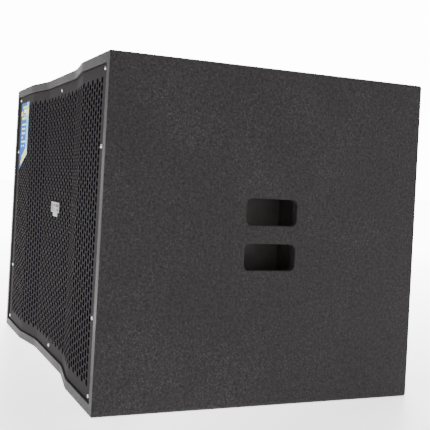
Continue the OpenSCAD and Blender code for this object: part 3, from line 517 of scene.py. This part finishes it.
MAGNET_STEEL = worked_metal("magnet_steel", (0.5, 0.5, 0.5), 0.4, (1, 8, 1), 400)
FERRITE = moulded("ferrite", (0.04, 0.04, 0.045), 0.55, 300, 0.3)
PHENOLIC = moulded("board_phenolic", (0.16, 0.07, 0.03), 0.4)
CONTACT = worked_metal("contact_metal", (0.8, 0.65, 0.3), 0.3)
PORT = moulded("port_plastic", (0.018, 0.018, 0.018), 0.5)
PLATE_PAINT = textured_paint("plate_paint", (0.018, 0.018, 0.018), (0.028, 0.028, 0.028), 1.0, 0.12, 0.5)
SOCKET = moulded("socket_plastic", (0.012, 0.012, 0.014), 0.42)
CABLE = moulded("cable_rubber", (0.014, 0.014, 0.014), 0.7, 700, 0.2)
WADDING = fibre("wadding", (0.72, 0.72, 0.68), (0.5, 0.5, 0.47), 90)
POLE_PAINT = textured_paint("pole_paint", (0.014, 0.014, 0.014), (0.022, 0.022, 0.022), 1.0, 0.1, 0.45)

SLOT_MATERIAL = {
    "cabinet_paint": CABINET_PAINT, "baffle_paint": BAFFLE_PAINT, "bare_plywood": BARE_PLY,
    "grille_paint": GRILLE_PAINT, "grille_foam": FOAM, "zinc_screw": ZINC,
    "black_screw": BLACK_SCREW, "badge_metal": BADGE, "cup_plastic": CUP,
    "basket_cast": BASKET, "gasket_board": GASKET, "surround_cloth": SURROUND,
    "cone_paper": CONE_PAPER, "cap_paper": CAP_PAPER, "former_film": FORMER,
    "copper_wire": COPPER, "spider_cloth": SPIDER, "magnet_steel": MAGNET_STEEL,
    "ferrite": FERRITE, "board_phenolic": PHENOLIC, "contact_metal": CONTACT,
    "port_plastic": PORT, "plate_paint": PLATE_PAINT, "socket_plastic": SOCKET,
    "cable_rubber": CABLE, "wadding": WADDING, "pole_paint": POLE_PAINT,
    "label_vinyl": label_vinyl("label_vinyl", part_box("front_label")),
}


def paint_cad_nodes():
    """Every CAD node gets its slot's material and smooth shading on its round faces."""
    for part in frame["record"]["subparts"]:
        node = frame["nodes"][part["node"]]
        node.data.materials.clear()
        node.data.materials.append(SLOT_MATERIAL[part["material_slot"]])
        node.data.shade_smooth()
        node.data.set_sharp_from_angle(angle=math.radians(32))


# ---------------------------------------------------------------- cabinet shell

def contour_y(x):
    """How far the front lies behind its ears at x: flat ears, slopes, flat recess, soft bends."""
    def ramp(t):
        return min(max(t, 0), 1)
    total = 0
    samples = 9
    for k in range(samples):
        at = abs(x) + BEND_SOFTNESS * (k / (samples - 1) - 0.5)
        total += ramp((BEND_OUT - at) / (BEND_OUT - BEND_IN))
    return RECESS * total / samples


def quarter(radius, steps, start_deg, end_deg):
    """Points of an arc round the origin, from one angle to another."""
    for k in range(steps + 1):
        turn = math.radians(start_deg + (end_deg - start_deg) * k / steps)
        yield radius * math.cos(turn), radius * math.sin(turn)


def wall_profile():
    """Cross-section of the wall: (inset from the outer face, at the front, distance from that end)."""
    r, s = FACE_EDGE_R, INNER_EDGE_R
    points = [(r - c, True, r - q) for c, q in quarter(r, 6, 0, 90)]
    points += [(WALL - s + q, True, s - c) for c, q in quarter(s, 3, 0, 90)]
    points += [(WALL - s + q, False, s - c) for c, q in quarter(s, 3, 90, 0)]
    points += [(r - c, False, r - q) for c, q in quarter(r, 6, 90, 0)]
    return points


def wall_ring():
    """Stations round the cabinet: a function from inset to (x, z) for each."""
    half_h = HEIGHT / 2
    ring = []

    def corner(sx, sz, turn):
        direction = Vector((math.cos(turn), math.sin(turn)))

        def place(inset):
            if inset <= EDGE_R:
                return (sx * (HALF_W - EDGE_R) + (EDGE_R - inset) * direction.x,
                        half_h + sz * (half_h - EDGE_R) + (EDGE_R - inset) * direction.y)
            return sx * (HALF_W - inset), half_h + sz * (half_h - inset)
        return place

    def straight(x, sz):
        return lambda inset: (x, half_h + sz * (half_h - inset))

    spread = 60
    xs = [(INNER_HALF_W - 2 * MM) * (1 - 2 * k / spread) for k in range(spread + 1)]
    for sx, sz, start in ((1, 1, 0), (-1, 1, 90), (-1, -1, 180), (1, -1, 270)):
        for k in range(7):
            ring.append(corner(sx, sz, math.radians(start + 15 * k)))
        if (sx, sz) == (1, 1):
            ring.extend(straight(x, 1) for x in xs)
        if (sx, sz) == (-1, -1):
            ring.extend(straight(x, -1) for x in reversed(xs))
    return ring


def slot_centres():
    """Middles of the right side's hand slots; the left side's have the same y and z."""
    boxes = {o["name"]: o["box_m"] for o in frame["record"]["physics"]["openings"]}
    names = [n for n in boxes if n.startswith("hand_slot") and n.endswith("right")]
    return [Vector([(boxes[n][0][i] + boxes[n][1][i]) / 2 for i in range(3)]) for n in names]


def slot_rings(bm, side, centre):
    """The wall of one hand slot, eased at both faces. Returns its outer and inner rim."""
    stations = [(SLOT_LIP - q, SLOT_LIP - c) for c, q in quarter(SLOT_LIP, 4, 0, 90)]
    stations += [(SLOT_LIP - c, WALL - SLOT_LIP + q) for c, q in quarter(SLOT_LIP, 4, 0, 90)]
    rings = []
    for grow, depth in stations:
        outline = round_rect(SLOT_L + 2 * grow, SLOT_H + 2 * grow, SLOT_R + grow, 8)
        rings.append([bm.verts.new((side * (HALF_W - depth), centre.y + a, centre.z + b))
                      for a, b in outline])
    for low, high in zip(rings, rings[1:]):
        for k in range(len(low)):
            n = (k + 1) % len(low)
            bm.faces.new((low[k], low[n], high[n], high[k]))
    return rings[0], rings[-1]


def rim_edges(bm, loop):
    """The edges of a closed loop of vertices, made where they are missing."""
    edges = []
    for a, b in zip(loop, loop[1:] + loop[:1]):
        edges.append(bm.edges.get((a, b)) or bm.edges.new((a, b)))
    return edges


def cabinet_shell():
    """The four outer walls as one painted skin, with rounded edges and the hand slots."""
    bm = bmesh.new()
    ring = wall_ring()
    profile = wall_profile()
    grid = []
    for place in ring:
        row = []
        for inset, at_front, along in profile:
            x, z = place(inset)
            y = FRONT_Y + contour_y(x) + along if at_front else REAR_Y - along
            row.append(bm.verts.new((x, y, z)))
        grid.append(row)
    inner_j = next(j for j, p in enumerate(profile) if not p[1]) - 1
    outer_j = len(profile) - 1
    open_faces = {1: [], -1: []}
    for i in range(len(ring)):
        ni = (i + 1) % len(ring)
        x = grid[i][0].co.x
        tall = abs(grid[i][0].co.z - grid[ni][0].co.z) > HEIGHT / 2
        for j in range(len(profile)):
            nj = (j + 1) % len(profile)
            corners = (grid[i][j], grid[ni][j], grid[ni][nj], grid[i][nj])
            if tall and j in (inner_j, outer_j):
                open_faces[1 if x > 0 else -1].append((j, corners))
                continue
            bm.faces.new(corners)
    for side, faces in open_faces.items():
        rims = [slot_rings(bm, side, centre) for centre in slot_centres()]
        for j, corners in faces:
            which = 0 if j == outer_j else 1
            edges = rim_edges(bm, list(corners))
            for rim in rims:
                edges += rim_edges(bm, rim[which])
            bmesh.ops.triangle_fill(bm, use_beauty=True, edges=edges, normal=(side, 0, 0))
    mesh = bpy.data.meshes.new("cabinet_shell")
    bm.to_mesh(mesh)
    bm.free()
    shell = finish_mesh("cabinet_shell", mesh, CABINET_PAINT, weighted=True,
                        sharp=50)
    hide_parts("side_panel_left", "side_panel_right", "top_panel", "bottom_panel")


# ---------------------------------------------------------------- grille

class Sheet:
    """A flat sheet built cell by cell in (x, z), given its thickness and bends at the end."""

    def __init__(self):
        self.index = {}
        self.points = []
        self.faces = []

    def vertex(self, x, z):
        key = (round(x * 1e6), round(z * 1e6))
        if key not in self.index:
            self.index[key] = len(self.points)
            self.points.append((x, z))
        return self.index[key]

    def plain(self, x0, x1, z0, z1, cuts_x, cuts_z):
        """A rectangle cut into quads."""
        for i in range(cuts_x):
            for k in range(cuts_z):
                xs = [x0 + (x1 - x0) * (i + d) / cuts_x for d in (0, 1)]
                zs = [z0 + (z1 - z0) * (k + d) / cuts_z for d in (0, 1)]
                self.faces.append([self.vertex(xs[0], zs[0]), self.vertex(xs[1], zs[0]),
                                   self.vertex(xs[1], zs[1]), self.vertex(xs[0], zs[1])])

    def holed(self, x, z):
        """One cell with a round hole; its border has four parts a side, so neighbours share points."""
        border = []
        for k in range(16):
            side, part = divmod(k, 4)
            t = part / 4 - 0.5
            u, v = ((0.5, t), (-t, 0.5), (-0.5, -t), (t, -0.5))[side]
            border.append((x + u * COLUMN_STEP, z + v * HOLE_PITCH))
        rim = []
        for k in range(16):
            turn = 2 * math.pi * (k - 2) / 16
            rim.append((x + HOLE_R * math.cos(turn), z + HOLE_R * math.sin(turn)))
        for k in range(16):
            n = (k + 1) % 16
            self.faces.append([self.vertex(*border[k]), self.vertex(*border[n]),
                               self.vertex(*rim[n]), self.vertex(*rim[k])])

    def lists(self, place):
        """Vertices and faces of the solid sheet; place(x, z, back) gives a point."""
        count = len(self.points)
        verts = [place(x, z, False) for x, z in self.points]
        verts += [place(x, z, True) for x, z in self.points]
        faces = [tuple(f) for f in self.faces]
        faces += [tuple(i + count for i in reversed(f)) for f in self.faces]
        uses = {}
        for face in self.faces:
            for a, b in zip(face, face[1:] + face[:1]):
                uses.setdefault((min(a, b), max(a, b)), []).append((a, b))
        for pairs in uses.values():
            if len(pairs) == 1:
                a, b = pairs[0]
                faces.append((b, a, a + count, b + count))
        return verts, faces


def perforated_grille():
    """The folded sheet with its real holes. Its front edge is eased back over the border's width."""
    sheet = Sheet()
    middle_z = (grille_low.z + grille_high.z) / 2
    field_w = FIELD_COLUMNS * COLUMN_STEP
    field_h = FIELD_ROWS * HOLE_PITCH
    bottom = middle_z - field_h / 2
    top = middle_z + field_h / 2
    ease = 2 * MM
    ease_depth = 0.5 * MM
    edge_zs = [grille_low.z, grille_low.z + ease / 2, grille_low.z + ease]
    low_bands = list(zip(edge_zs, edge_zs[1:] + [bottom]))
    high_bands = [(2 * middle_z - b, 2 * middle_z - a) for a, b in reversed(low_bands)]
    for column in range(FIELD_COLUMNS):
        x0 = -field_w / 2 + column * COLUMN_STEP
        x1 = x0 + COLUMN_STEP
        for z0, z1 in low_bands + high_bands:
            sheet.plain(x0, x1, z0, z1, 4, 1)
        shift = 0.5 * HOLE_PITCH if column % 2 else 0
        if shift:
            sheet.plain(x0, x1, bottom, bottom + shift, 4, 2)
            sheet.plain(x0, x1, top - shift, top, 4, 2)
        for row in range(FIELD_ROWS - (1 if shift else 0)):
            sheet.holed((x0 + x1) / 2, bottom + shift + (row + 0.5) * HOLE_PITCH)
    edge_xs = [grille_high.x, grille_high.x - ease / 2, grille_high.x - ease]
    side_bands = list(zip(edge_xs[1:] + [field_w / 2], edge_xs))
    for low_x, high_x in side_bands:
        for x0, x1 in ((low_x, high_x), (-high_x, -low_x)):
            sheet.plain(x0, x1, bottom, top, 1, 4 * FIELD_ROWS)
            for z0, z1 in low_bands + high_bands:
                sheet.plain(x0, x1, z0, z1, 1, 1)

    def place(x, z, back):
        margin = min(grille_high.x - abs(x), z - grille_low.z, grille_high.z - z)
        eased = ease_depth * max(0, 1 - margin / ease) ** 2
        thick = SHEET_T - eased if back else 0
        return Vector((x, GRILLE_EAR_Y + contour_y(x) + thick + eased, z))

    verts, faces = sheet.lists(place)
    grille = mesh_piece("perforated_grille", verts, faces, GRILLE_PAINT, sharp=40)
    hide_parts("grille")


def foam_sheet():
    """The foam behind the holes, following the bends, its back a little uneven."""
    low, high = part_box("grille_foam")
    columns, rows = 96, 40
    clearance, thickness, unevenness = 0.1 * MM, 7.6 * MM, 0.3 * MM
    grid = []
    for back in (False, True):
        layer = []
        for i in range(columns + 1):
            for k in range(rows + 1):
                x = low.x + (high.x - low.x) * i / columns
                z = low.z + (high.z - low.z) * k / rows
                y = GRILLE_EAR_Y + contour_y(x) + SHEET_T + clearance
                if back:
                    y += thickness + unevenness * math.sin(x * 55) * math.cos(z * 47)
                layer.append(Vector((x, y, z)))
        grid.append(layer)
    verts = grid[0] + grid[1]
    count = len(grid[0])
    faces = []
    for i in range(columns):
        for k in range(rows):
            a = i * (rows + 1) + k
            b = a + rows + 1
            faces.append((a, b, b + 1, a + 1))
            faces.append((a + 1 + count, b + 1 + count, b + count, a + count))
    rim = [i * (rows + 1) for i in range(columns + 1)]
    rim += [columns * (rows + 1) + k for k in range(1, rows + 1)]
    rim += [i * (rows + 1) + rows for i in range(columns - 1, -1, -1)]
    rim += [k for k in range(rows - 1, 0, -1)]
    for a, b in zip(rim, rim[1:] + rim[:1]):
        faces.append((b, a, a + count, b + count))
    foam = mesh_piece("foam_lining", verts, faces, FOAM)
    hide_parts("grille_foam")


# ---------------------------------------------------------------- screws, badge, label

def screw(head_r, head_h, shank_r, shank_l, recess_r, sunk=False):
    """A cross-recess screw along +Z: its head sits on z = 0 or, sunk, is flush with it."""
    if sunk:
        profile = [(0, 0), (head_r * 0.96, 0), (head_r, -0.03 * head_h), (shank_r, -head_h),
                   (shank_r, -shank_l), (0, -shank_l - shank_r)]
    else:
        rises = [math.radians(a) for a in (0, 20, 40, 60, 78)]
        dome = [(head_r * math.cos(a), head_h * (0.35 + 0.65 * math.sin(a))) for a in rises]
        profile = [(0, head_h), *reversed(dome), (head_r, 0), (shank_r, 0),
                   (shank_r, -shank_l), (0, -shank_l - shank_r)]
    bm = bmesh.new()
    verts, faces = lathe(profile, 24)
    made = [bm.verts.new(v) for v in verts]
    for face in faces:
        bm.faces.new([made[i] for i in face])
    bmesh.ops.remove_doubles(bm, verts=bm.verts, dist=1e-7)
    bmesh.ops.dissolve_degenerate(bm, edges=bm.edges, dist=1e-8)
    bmesh.ops.recalc_face_normals(bm, faces=bm.faces)
    mesh = bpy.data.meshes.new("screw")
    bm.to_mesh(mesh)
    bm.free()
    body = bpy.data.objects.new("screw", mesh)
    bpy.context.scene.collection.objects.link(body)
    top = 0 if sunk else head_h
    arms = []
    for turn in (0, 90):
        deep = min(0.75 * head_h, 0.9 * recess_r)
        arm, arm_faces = soft_box((-recess_r, -0.17 * recess_r, top - deep),
                                  (recess_r, 0.17 * recess_r, top + head_h), 0.04 * recess_r, 1)
        arms.append((moved(arm, Matrix.Rotation(math.radians(turn), 4, "Z")), arm_faces))
    for arm, arm_faces in arms:
        cutter_mesh = bpy.data.meshes.new("cutter")
        cutter_mesh.from_pydata([tuple(v) for v in arm], [], arm_faces)
        cutter = bpy.data.objects.new("cutter", cutter_mesh)
        bpy.context.scene.collection.objects.link(cutter)
        cut = body.modifiers.new("recess", "BOOLEAN")
        cut.operation = "DIFFERENCE"
        cut.solver = "EXACT"
        cut.object = cutter
        bpy.context.view_layer.update()
        evaluated = body.evaluated_get(bpy.context.evaluated_depsgraph_get())
        result = bpy.data.meshes.new_from_object(evaluated)
        body.modifiers.clear()
        body.data = result
        bpy.data.objects.remove(cutter)
    verts = [v.co.copy() for v in body.data.vertices]
    faces = [tuple(p.vertices) for p in body.data.polygons]
    bpy.data.objects.remove(body)
    return verts, faces


def islands(node):
    """Lowest and highest corners of each separate solid of a CAD node."""
    bm = bmesh.new()
    bm.from_mesh(frame["nodes"][node].data)
    bmesh.ops.remove_doubles(bm, verts=bm.verts, dist=1e-6)
    seen = set()
    found = []
    for start in bm.verts:
        if start in seen:
            continue
        group = []
        stack = [start]
        seen.add(start)
        while stack:
            v = stack.pop()
            group.append(v.co.copy())
            for edge in v.link_edges:
                other = edge.other_vert(v)
                if other not in seen:
                    seen.add(other)
                    stack.append(other)
        low = Vector([min(p[i] for p in group) for i in range(3)])
        high = Vector([max(p[i] for p in group) for i in range(3)])
        found.append((low, high))
    bm.free()
    return found


def screws_piece(name, node, shape, outward, seat, material):
    """Copies of one screw where the CAD node's solids are, each turned a little further.

    outward is the head's direction and seat(low, high) the point of the head's underside.
    """
    turn_to = Vector((0, 0, 1)).rotation_difference(Vector(outward)).to_matrix().to_4x4()
    parts = []
    shape_verts, shape_faces = shape
    for k, (low, high) in enumerate(islands(node)):
        spin = Matrix.Rotation(math.radians(37 * k), 4, "Z")
        place = Matrix.Translation(seat(low, high)) @ turn_to @ spin
        parts.append((moved(shape_verts, place), shape_faces))
    verts, faces = joined(parts)
    piece = mesh_piece(name, verts, faces, material, sharp=40)
    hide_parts(node)


def front_seat(head_h):
    """Seat of a screw that faces forward, below its head."""
    return lambda low, high: Vector(((low.x + high.x) / 2, low.y + head_h, (low.z + high.z) / 2))


def rear_seat(head_h):
    """Seat of a screw that faces backward, below its head."""
    return lambda low, high: Vector(((low.x + high.x) / 2, high.y - head_h, (low.z + high.z) / 2))


def top_seat(low, high):
    """Seat of a sunk screw that faces up."""
    return Vector(((low.x + high.x) / 2, (low.y + high.y) / 2, high.z))


def all_screws():
    """The screws of the grille, the connector plate, its sockets and the pole socket."""
    head = 2.6 * MM
    grille_screw = screw(head_r=3.5 * MM, head_h=head, shank_r=2 * MM, shank_l=24 * MM,
                         recess_r=2 * MM)
    screws_piece("grille_screw_heads", "grille_screws", grille_screw,
                 (0, -1, 0), front_seat(head), ZINC)
    head = 2.4 * MM
    plate_screw = screw(head_r=4 * MM, head_h=head, shank_r=2 * MM, shank_l=13 * MM,
                        recess_r=2.2 * MM)
    screws_piece("plate_screw_heads", "connector_plate_screws", plate_screw,
                 (0, 1, 0), rear_seat(head), BLACK_SCREW)
    head = 1.6 * MM
    socket_screw = screw(head_r=2.8 * MM, head_h=head, shank_r=1.5 * MM, shank_l=7 * MM,
                         recess_r=1.6 * MM)
    screws_piece("socket_screw_heads", "socket_screws", socket_screw,
                 (0, 1, 0), rear_seat(head), BLACK_SCREW)
    pole_screw = screw(head_r=4.5 * MM, head_h=2.5 * MM, shank_r=2.25 * MM, shank_l=12 * MM,
                       recess_r=2.4 * MM, sunk=True)
    screws_piece("pole_screw_heads", "pole_socket_screws", pole_screw,
                 (0, 0, 1), top_seat, BLACK_SCREW)


def badge():
    """A plain pressed plate with a raised rim, a small tab below it and two studs behind it."""
    low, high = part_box("badge_plate")
    front = low.y
    back = front + 2 * MM
    edge = 0.5 * MM
    tab_h = 8 * MM
    tab_half = 20 * MM
    stud_x, stud_r, stud_l = 28 * MM, 1.75 * MM, 6 * MM
    parts = [
        soft_box((low.x, front + 0.6 * MM, low.z + tab_h), (high.x, back, high.z), edge),
        soft_box((-tab_half, front + 0.8 * MM, low.z), (tab_half, back, low.z + tab_h + MM), edge),
    ]
    rim = 2 * MM
    bars = (
        ((low.x, low.z + tab_h), (high.x, low.z + tab_h + rim)),
        ((low.x, high.z - rim), (high.x, high.z)),
        ((low.x, low.z + tab_h), (low.x + rim, high.z)),
        ((high.x - rim, low.z + tab_h), (high.x, high.z)),
    )
    for (x0, z0), (x1, z1) in bars:
        parts.append(soft_box((x0, front, z0), (x1, front + 1.2 * MM, z1), 0.4 * MM))
    for side in (-1, 1):
        stud, faces = lathe([(0, 0), (stud_r, 0), (stud_r, stud_l), (0, stud_l)], 16)
        foot = Matrix.Translation((side * stud_x, front + 1.5 * MM, (low.z + tab_h + high.z) / 2))
        parts.append((moved(stud, foot @ Matrix.Rotation(math.radians(-90), 4, "X")), faces))
    verts, faces = joined(parts)
    piece = mesh_piece("badge_blank", verts, faces, BADGE)
    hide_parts("badge_plate")


# ---------------------------------------------------------------- driver's soft parts

driver_low, driver_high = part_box("woofer_basket")
AXIS_Z = (driver_low.z + driver_high.z) / 2
BAFFLE_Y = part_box("front_baffle")[0].y


def driver_point(radius, turn, forward):
    """A point by its distance from the driver's axis, its turn, and how far it is before the baffle."""
    return Vector((radius * math.cos(turn), BAFFLE_Y - forward, AXIS_Z + radius * math.sin(turn)))


def turned_piece(name, line, thickness, segments, material):
    """A thin turned skin: line has (radius, forward) points, thickness is along the axis."""
    profile = line + [(r, f - thickness) for r, f in reversed(line)]
    verts = []
    faces = []
    count = len(profile)
    for k in range(segments):
        turn = 2 * math.pi * k / segments
        verts.extend(driver_point(r, turn, f) for r, f in profile)
        n = (k + 1) % segments
        for i in range(count):
            j = (i + 1) % count
            faces.append((k * count + i, k * count + j, n * count + j, n * count + i))
    return mesh_piece(name, verts, faces, material, body=None)


def surround():
    """The half-roll edge between basket and cone."""
    lip, cone_edge = 12 * MM, -0.1 * MM
    roll_middle, roll_r, roll_steps = 187 * MM, 13 * MM, 24
    line = [(212 * MM, lip), (201 * MM, lip)]
    for k in range(roll_steps + 1):
        turn = math.radians(10 + 160 * k / roll_steps)
        line.append((roll_middle + roll_r * math.cos(turn), lip + roll_r * math.sin(turn)))
    line += [(172 * MM, cone_edge), (160 * MM, cone_edge)]
    piece = turned_piece("cloth_surround", line, 1.3 * MM, 128, SURROUND)
    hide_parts("woofer_surround")
    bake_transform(piece)


def spider():
    """The corrugated suspension between basket and coil former."""
    inner_r, outer_r = 51.1 * MM, 102 * MM
    inner_forward, outer_forward = -99.2 * MM, -111.2 * MM
    wave_h, waves, steps = 2 * MM, 5, 64
    line = []
    for k in range(steps + 1):
        t = k / steps
        full = min(1, t / 0.08, (1 - t) / 0.18)
        wave = wave_h * math.sin(2 * math.pi * waves * t) * max(0, full)
        line.append((inner_r + (outer_r - inner_r) * t,
                     inner_forward + (outer_forward - inner_forward) * t + wave))
    piece = turned_piece("cloth_spider", line, 0.7 * MM, 96, SPIDER)
    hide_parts("woofer_spider")
    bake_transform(piece)


def leads():
    """The tinsel leads keep their CAD route between the lugs and the cone."""
    mesh = frame["nodes"]["tinsel_leads"].data.copy()
    piece = finish_mesh("braided_leads", mesh, COPPER, body=None)
    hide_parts("tinsel_leads")
    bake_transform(piece)


def wadding(name, node, face_axis):
    """A lumpy sheet of fibre in the slab's place."""
    low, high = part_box(node)
    size = high - low
    cuts = 28
    bm = bmesh.new()
    bmesh.ops.create_grid(bm, x_segments=cuts, y_segments=cuts, size=0.5)
    flat, flat_faces = bm_lists(bm)
    axes = [a for a in range(3) if a != face_axis]
    verts = []
    for layer in (0, 1):
        for point in flat:
            at = [0, 0, 0]
            at[axes[0]] = low[axes[0]] + size[axes[0]] * (point.x + 0.5)
            at[axes[1]] = low[axes[1]] + size[axes[1]] * (point.y + 0.5)
            rim = min(0.5 - abs(point.x), 0.5 - abs(point.y)) * 2
            swell = math.sqrt(min(1, rim / 0.12 + 0.02))
            lump = (0.86 + 0.07 * math.sin(at[axes[0]] * 38 + layer)
                    + 0.07 * math.cos(at[axes[1]] * 43))
            middle = low[face_axis] + size[face_axis] / 2
            sign = 1 if layer else -1
            at[face_axis] = middle + sign * size[face_axis] / 2 * swell * lump
            verts.append(Vector(at))
    count = len(flat)
    faces = list(flat_faces)
    faces += [tuple(i + count for i in reversed(f)) for f in flat_faces]
    uses = {}
    for face in flat_faces:
        for a, b in zip(face, face[1:] + face[:1]):
            uses.setdefault((min(a, b), max(a, b)), []).append((a, b))
    border = [pairs[0] for pairs in uses.values() if len(pairs) == 1]
    faces += [(b, a, a + count, b + count) for a, b in border]
    piece = mesh_piece(name, verts, faces, WADDING, sharp=80)
    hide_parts(node)


# ---------------------------------------------------------------- stage

def camera():
    """The camera, aimed by its azimuth from +Y, its tilt, and its roll."""
    azimuth, tilt, roll = (math.radians(a) for a in (CAMERA_AZIMUTH, CAMERA_TILT, CAMERA_ROLL))
    forward = Vector((math.sin(azimuth) * math.cos(tilt), math.cos(azimuth) * math.cos(tilt),
                      math.sin(tilt)))
    level = Vector((math.cos(azimuth), -math.sin(azimuth), 0))
    above = level.cross(forward)
    right = level * math.cos(roll) + above * math.sin(roll)
    up = above * math.cos(roll) - level * math.sin(roll)
    data = bpy.data.cameras.new("camera")
    data.sensor_width = 36
    data.lens = CAMERA_LENS
    data.shift_x, data.shift_y = CAMERA_SHIFT
    data.clip_end = 200
    thing = bpy.data.objects.new("camera", data)
    bpy.context.scene.collection.objects.link(thing)
    place = Matrix((right, up, -forward)).transposed().to_4x4()
    place.translation = Vector(CAMERA_PLACE)
    thing.matrix_world = place
    bpy.context.scene.camera = thing


def area_light(name, place, target, size, power):
    """A white rectangular light at a place, turned to a target."""
    data = bpy.data.lights.new(name, "AREA")
    data.shape = "RECTANGLE"
    data.size, data.size_y = size
    data.energy = power
    thing = bpy.data.objects.new(name, data)
    bpy.context.scene.collection.objects.link(thing)
    thing.location = place
    aim = Vector(target) - Vector(place)
    thing.rotation_euler = aim.to_track_quat("-Z", "Y").to_euler()


def room():
    """Soft light all round, paler towards the horizon, with a white wall far behind the cabinet."""
    world = bpy.data.worlds.new("world")
    bpy.context.scene.world = world
    world.use_nodes = True
    nodes = world.node_tree.nodes
    links = world.node_tree.links
    background = nodes["Background"]
    background.inputs["Color"].default_value = (1, 1, 1, 1)
    coords = nodes.new("ShaderNodeTexCoord")
    brightest = nodes.new("ShaderNodeMath")
    brightest.operation = "MAXIMUM"
    # A direction, two cosines of the angle to it, and the strength at each
    ramps = (
        (WALL_DIRECTION, 0.87, 0.925, ROOM_LIGHT, WALL_LIGHT),
        ((0, 0, 1), 0, 0.4, HORIZON_LIGHT, ROOM_LIGHT),
    )
    for socket, (direction, low, high, start, end) in zip(brightest.inputs, ramps):
        facing = nodes.new("ShaderNodeVectorMath")
        facing.operation = "DOT_PRODUCT"
        facing.inputs[1].default_value = direction
        links.new(coords.outputs["Generated"], facing.inputs[0])
        strength = nodes.new("ShaderNodeMapRange")
        for name, number in (("From Min", low), ("From Max", high),
                             ("To Min", start), ("To Max", end)):
            strength.inputs[name].default_value = number
        links.new(facing.outputs["Value"], strength.inputs["Value"])
        links.new(strength.outputs["Result"], socket)
    links.new(brightest.outputs["Value"], background.inputs["Strength"])


def floor_paint():
    """Pale floor that glows more and more towards the white wall, in a widening patch: painted light
    from its own emission, which also lights the cabinet from below.
    """
    m = Material("floor", (0.9, 0.9, 0.9), 0.45, specular=0.4)
    distances = []
    for direction in (WALL_DIRECTION, (WALL_DIRECTION[1], -WALL_DIRECTION[0], 0)):
        distance = m.nodes.new("ShaderNodeVectorMath")
        distance.operation = "DOT_PRODUCT"
        distance.inputs[1].default_value = direction
        m.links.new(m.coords, distance.inputs[0])
        distances.append(distance.outputs["Value"])
    towards, aside = distances
    painted_glow_reach = m.math("SUBTRACT", towards, m.math("MULTIPLY", m.math("ABSOLUTE", aside), 1.3))
    glow = m.span(painted_glow_reach, -0.8, 1.6, FLOOR_LIGHT, FAR_FLOOR_LIGHT)
    # Painted light: the floor glows by its emission, brighter towards the white wall.
    m.shader.inputs["Emission Color"].default_value = (1, 1, 1, 1)
    m.links.new(glow, m.shader.inputs["Emission Strength"])
    return m.material


def stage():
    """The floor, the room's light and four soft lamps."""
    reach = 30
    mesh = bpy.data.meshes.new("floor")
    mesh.from_pydata([(-reach, -reach, 0), (reach, -reach, 0), (reach, reach, 0), (-reach, reach, 0)],
                     [], [(0, 1, 2, 3)])
    mesh.materials.append(floor_paint())
    floor = bpy.data.objects.new("floor", mesh)
    bpy.context.scene.collection.objects.link(floor)
    room()
    area_light("side_light", (3.4, 0.6, 2.2), (0.3, 0, 0.3), (2.5, 2.0), 10)
    area_light("low_front_light", (-0.45, -0.98, 0.08), (-0.1, -0.31, 0.1), (1.0, 0.25), 10)
    area_light("front_light", (-2.8, -1.5, 0.9), (0, -0.3, 0.3), (1.6, 1.2), 5)
    area_light("top_light", (-0.6, 0.6, 3.4), (-0.4, 0.3, 0), (4, 4), 200)


# ---------------------------------------------------------------- build

camera()
stage()
paint_cad_nodes()
cabinet_shell()
perforated_grille()
foam_sheet()
all_screws()
badge()
surround()
spider()
leads()
wadding("wadding_mat_back", "wadding_back", 1)
wadding("wadding_mat_floor", "wadding_floor", 2)
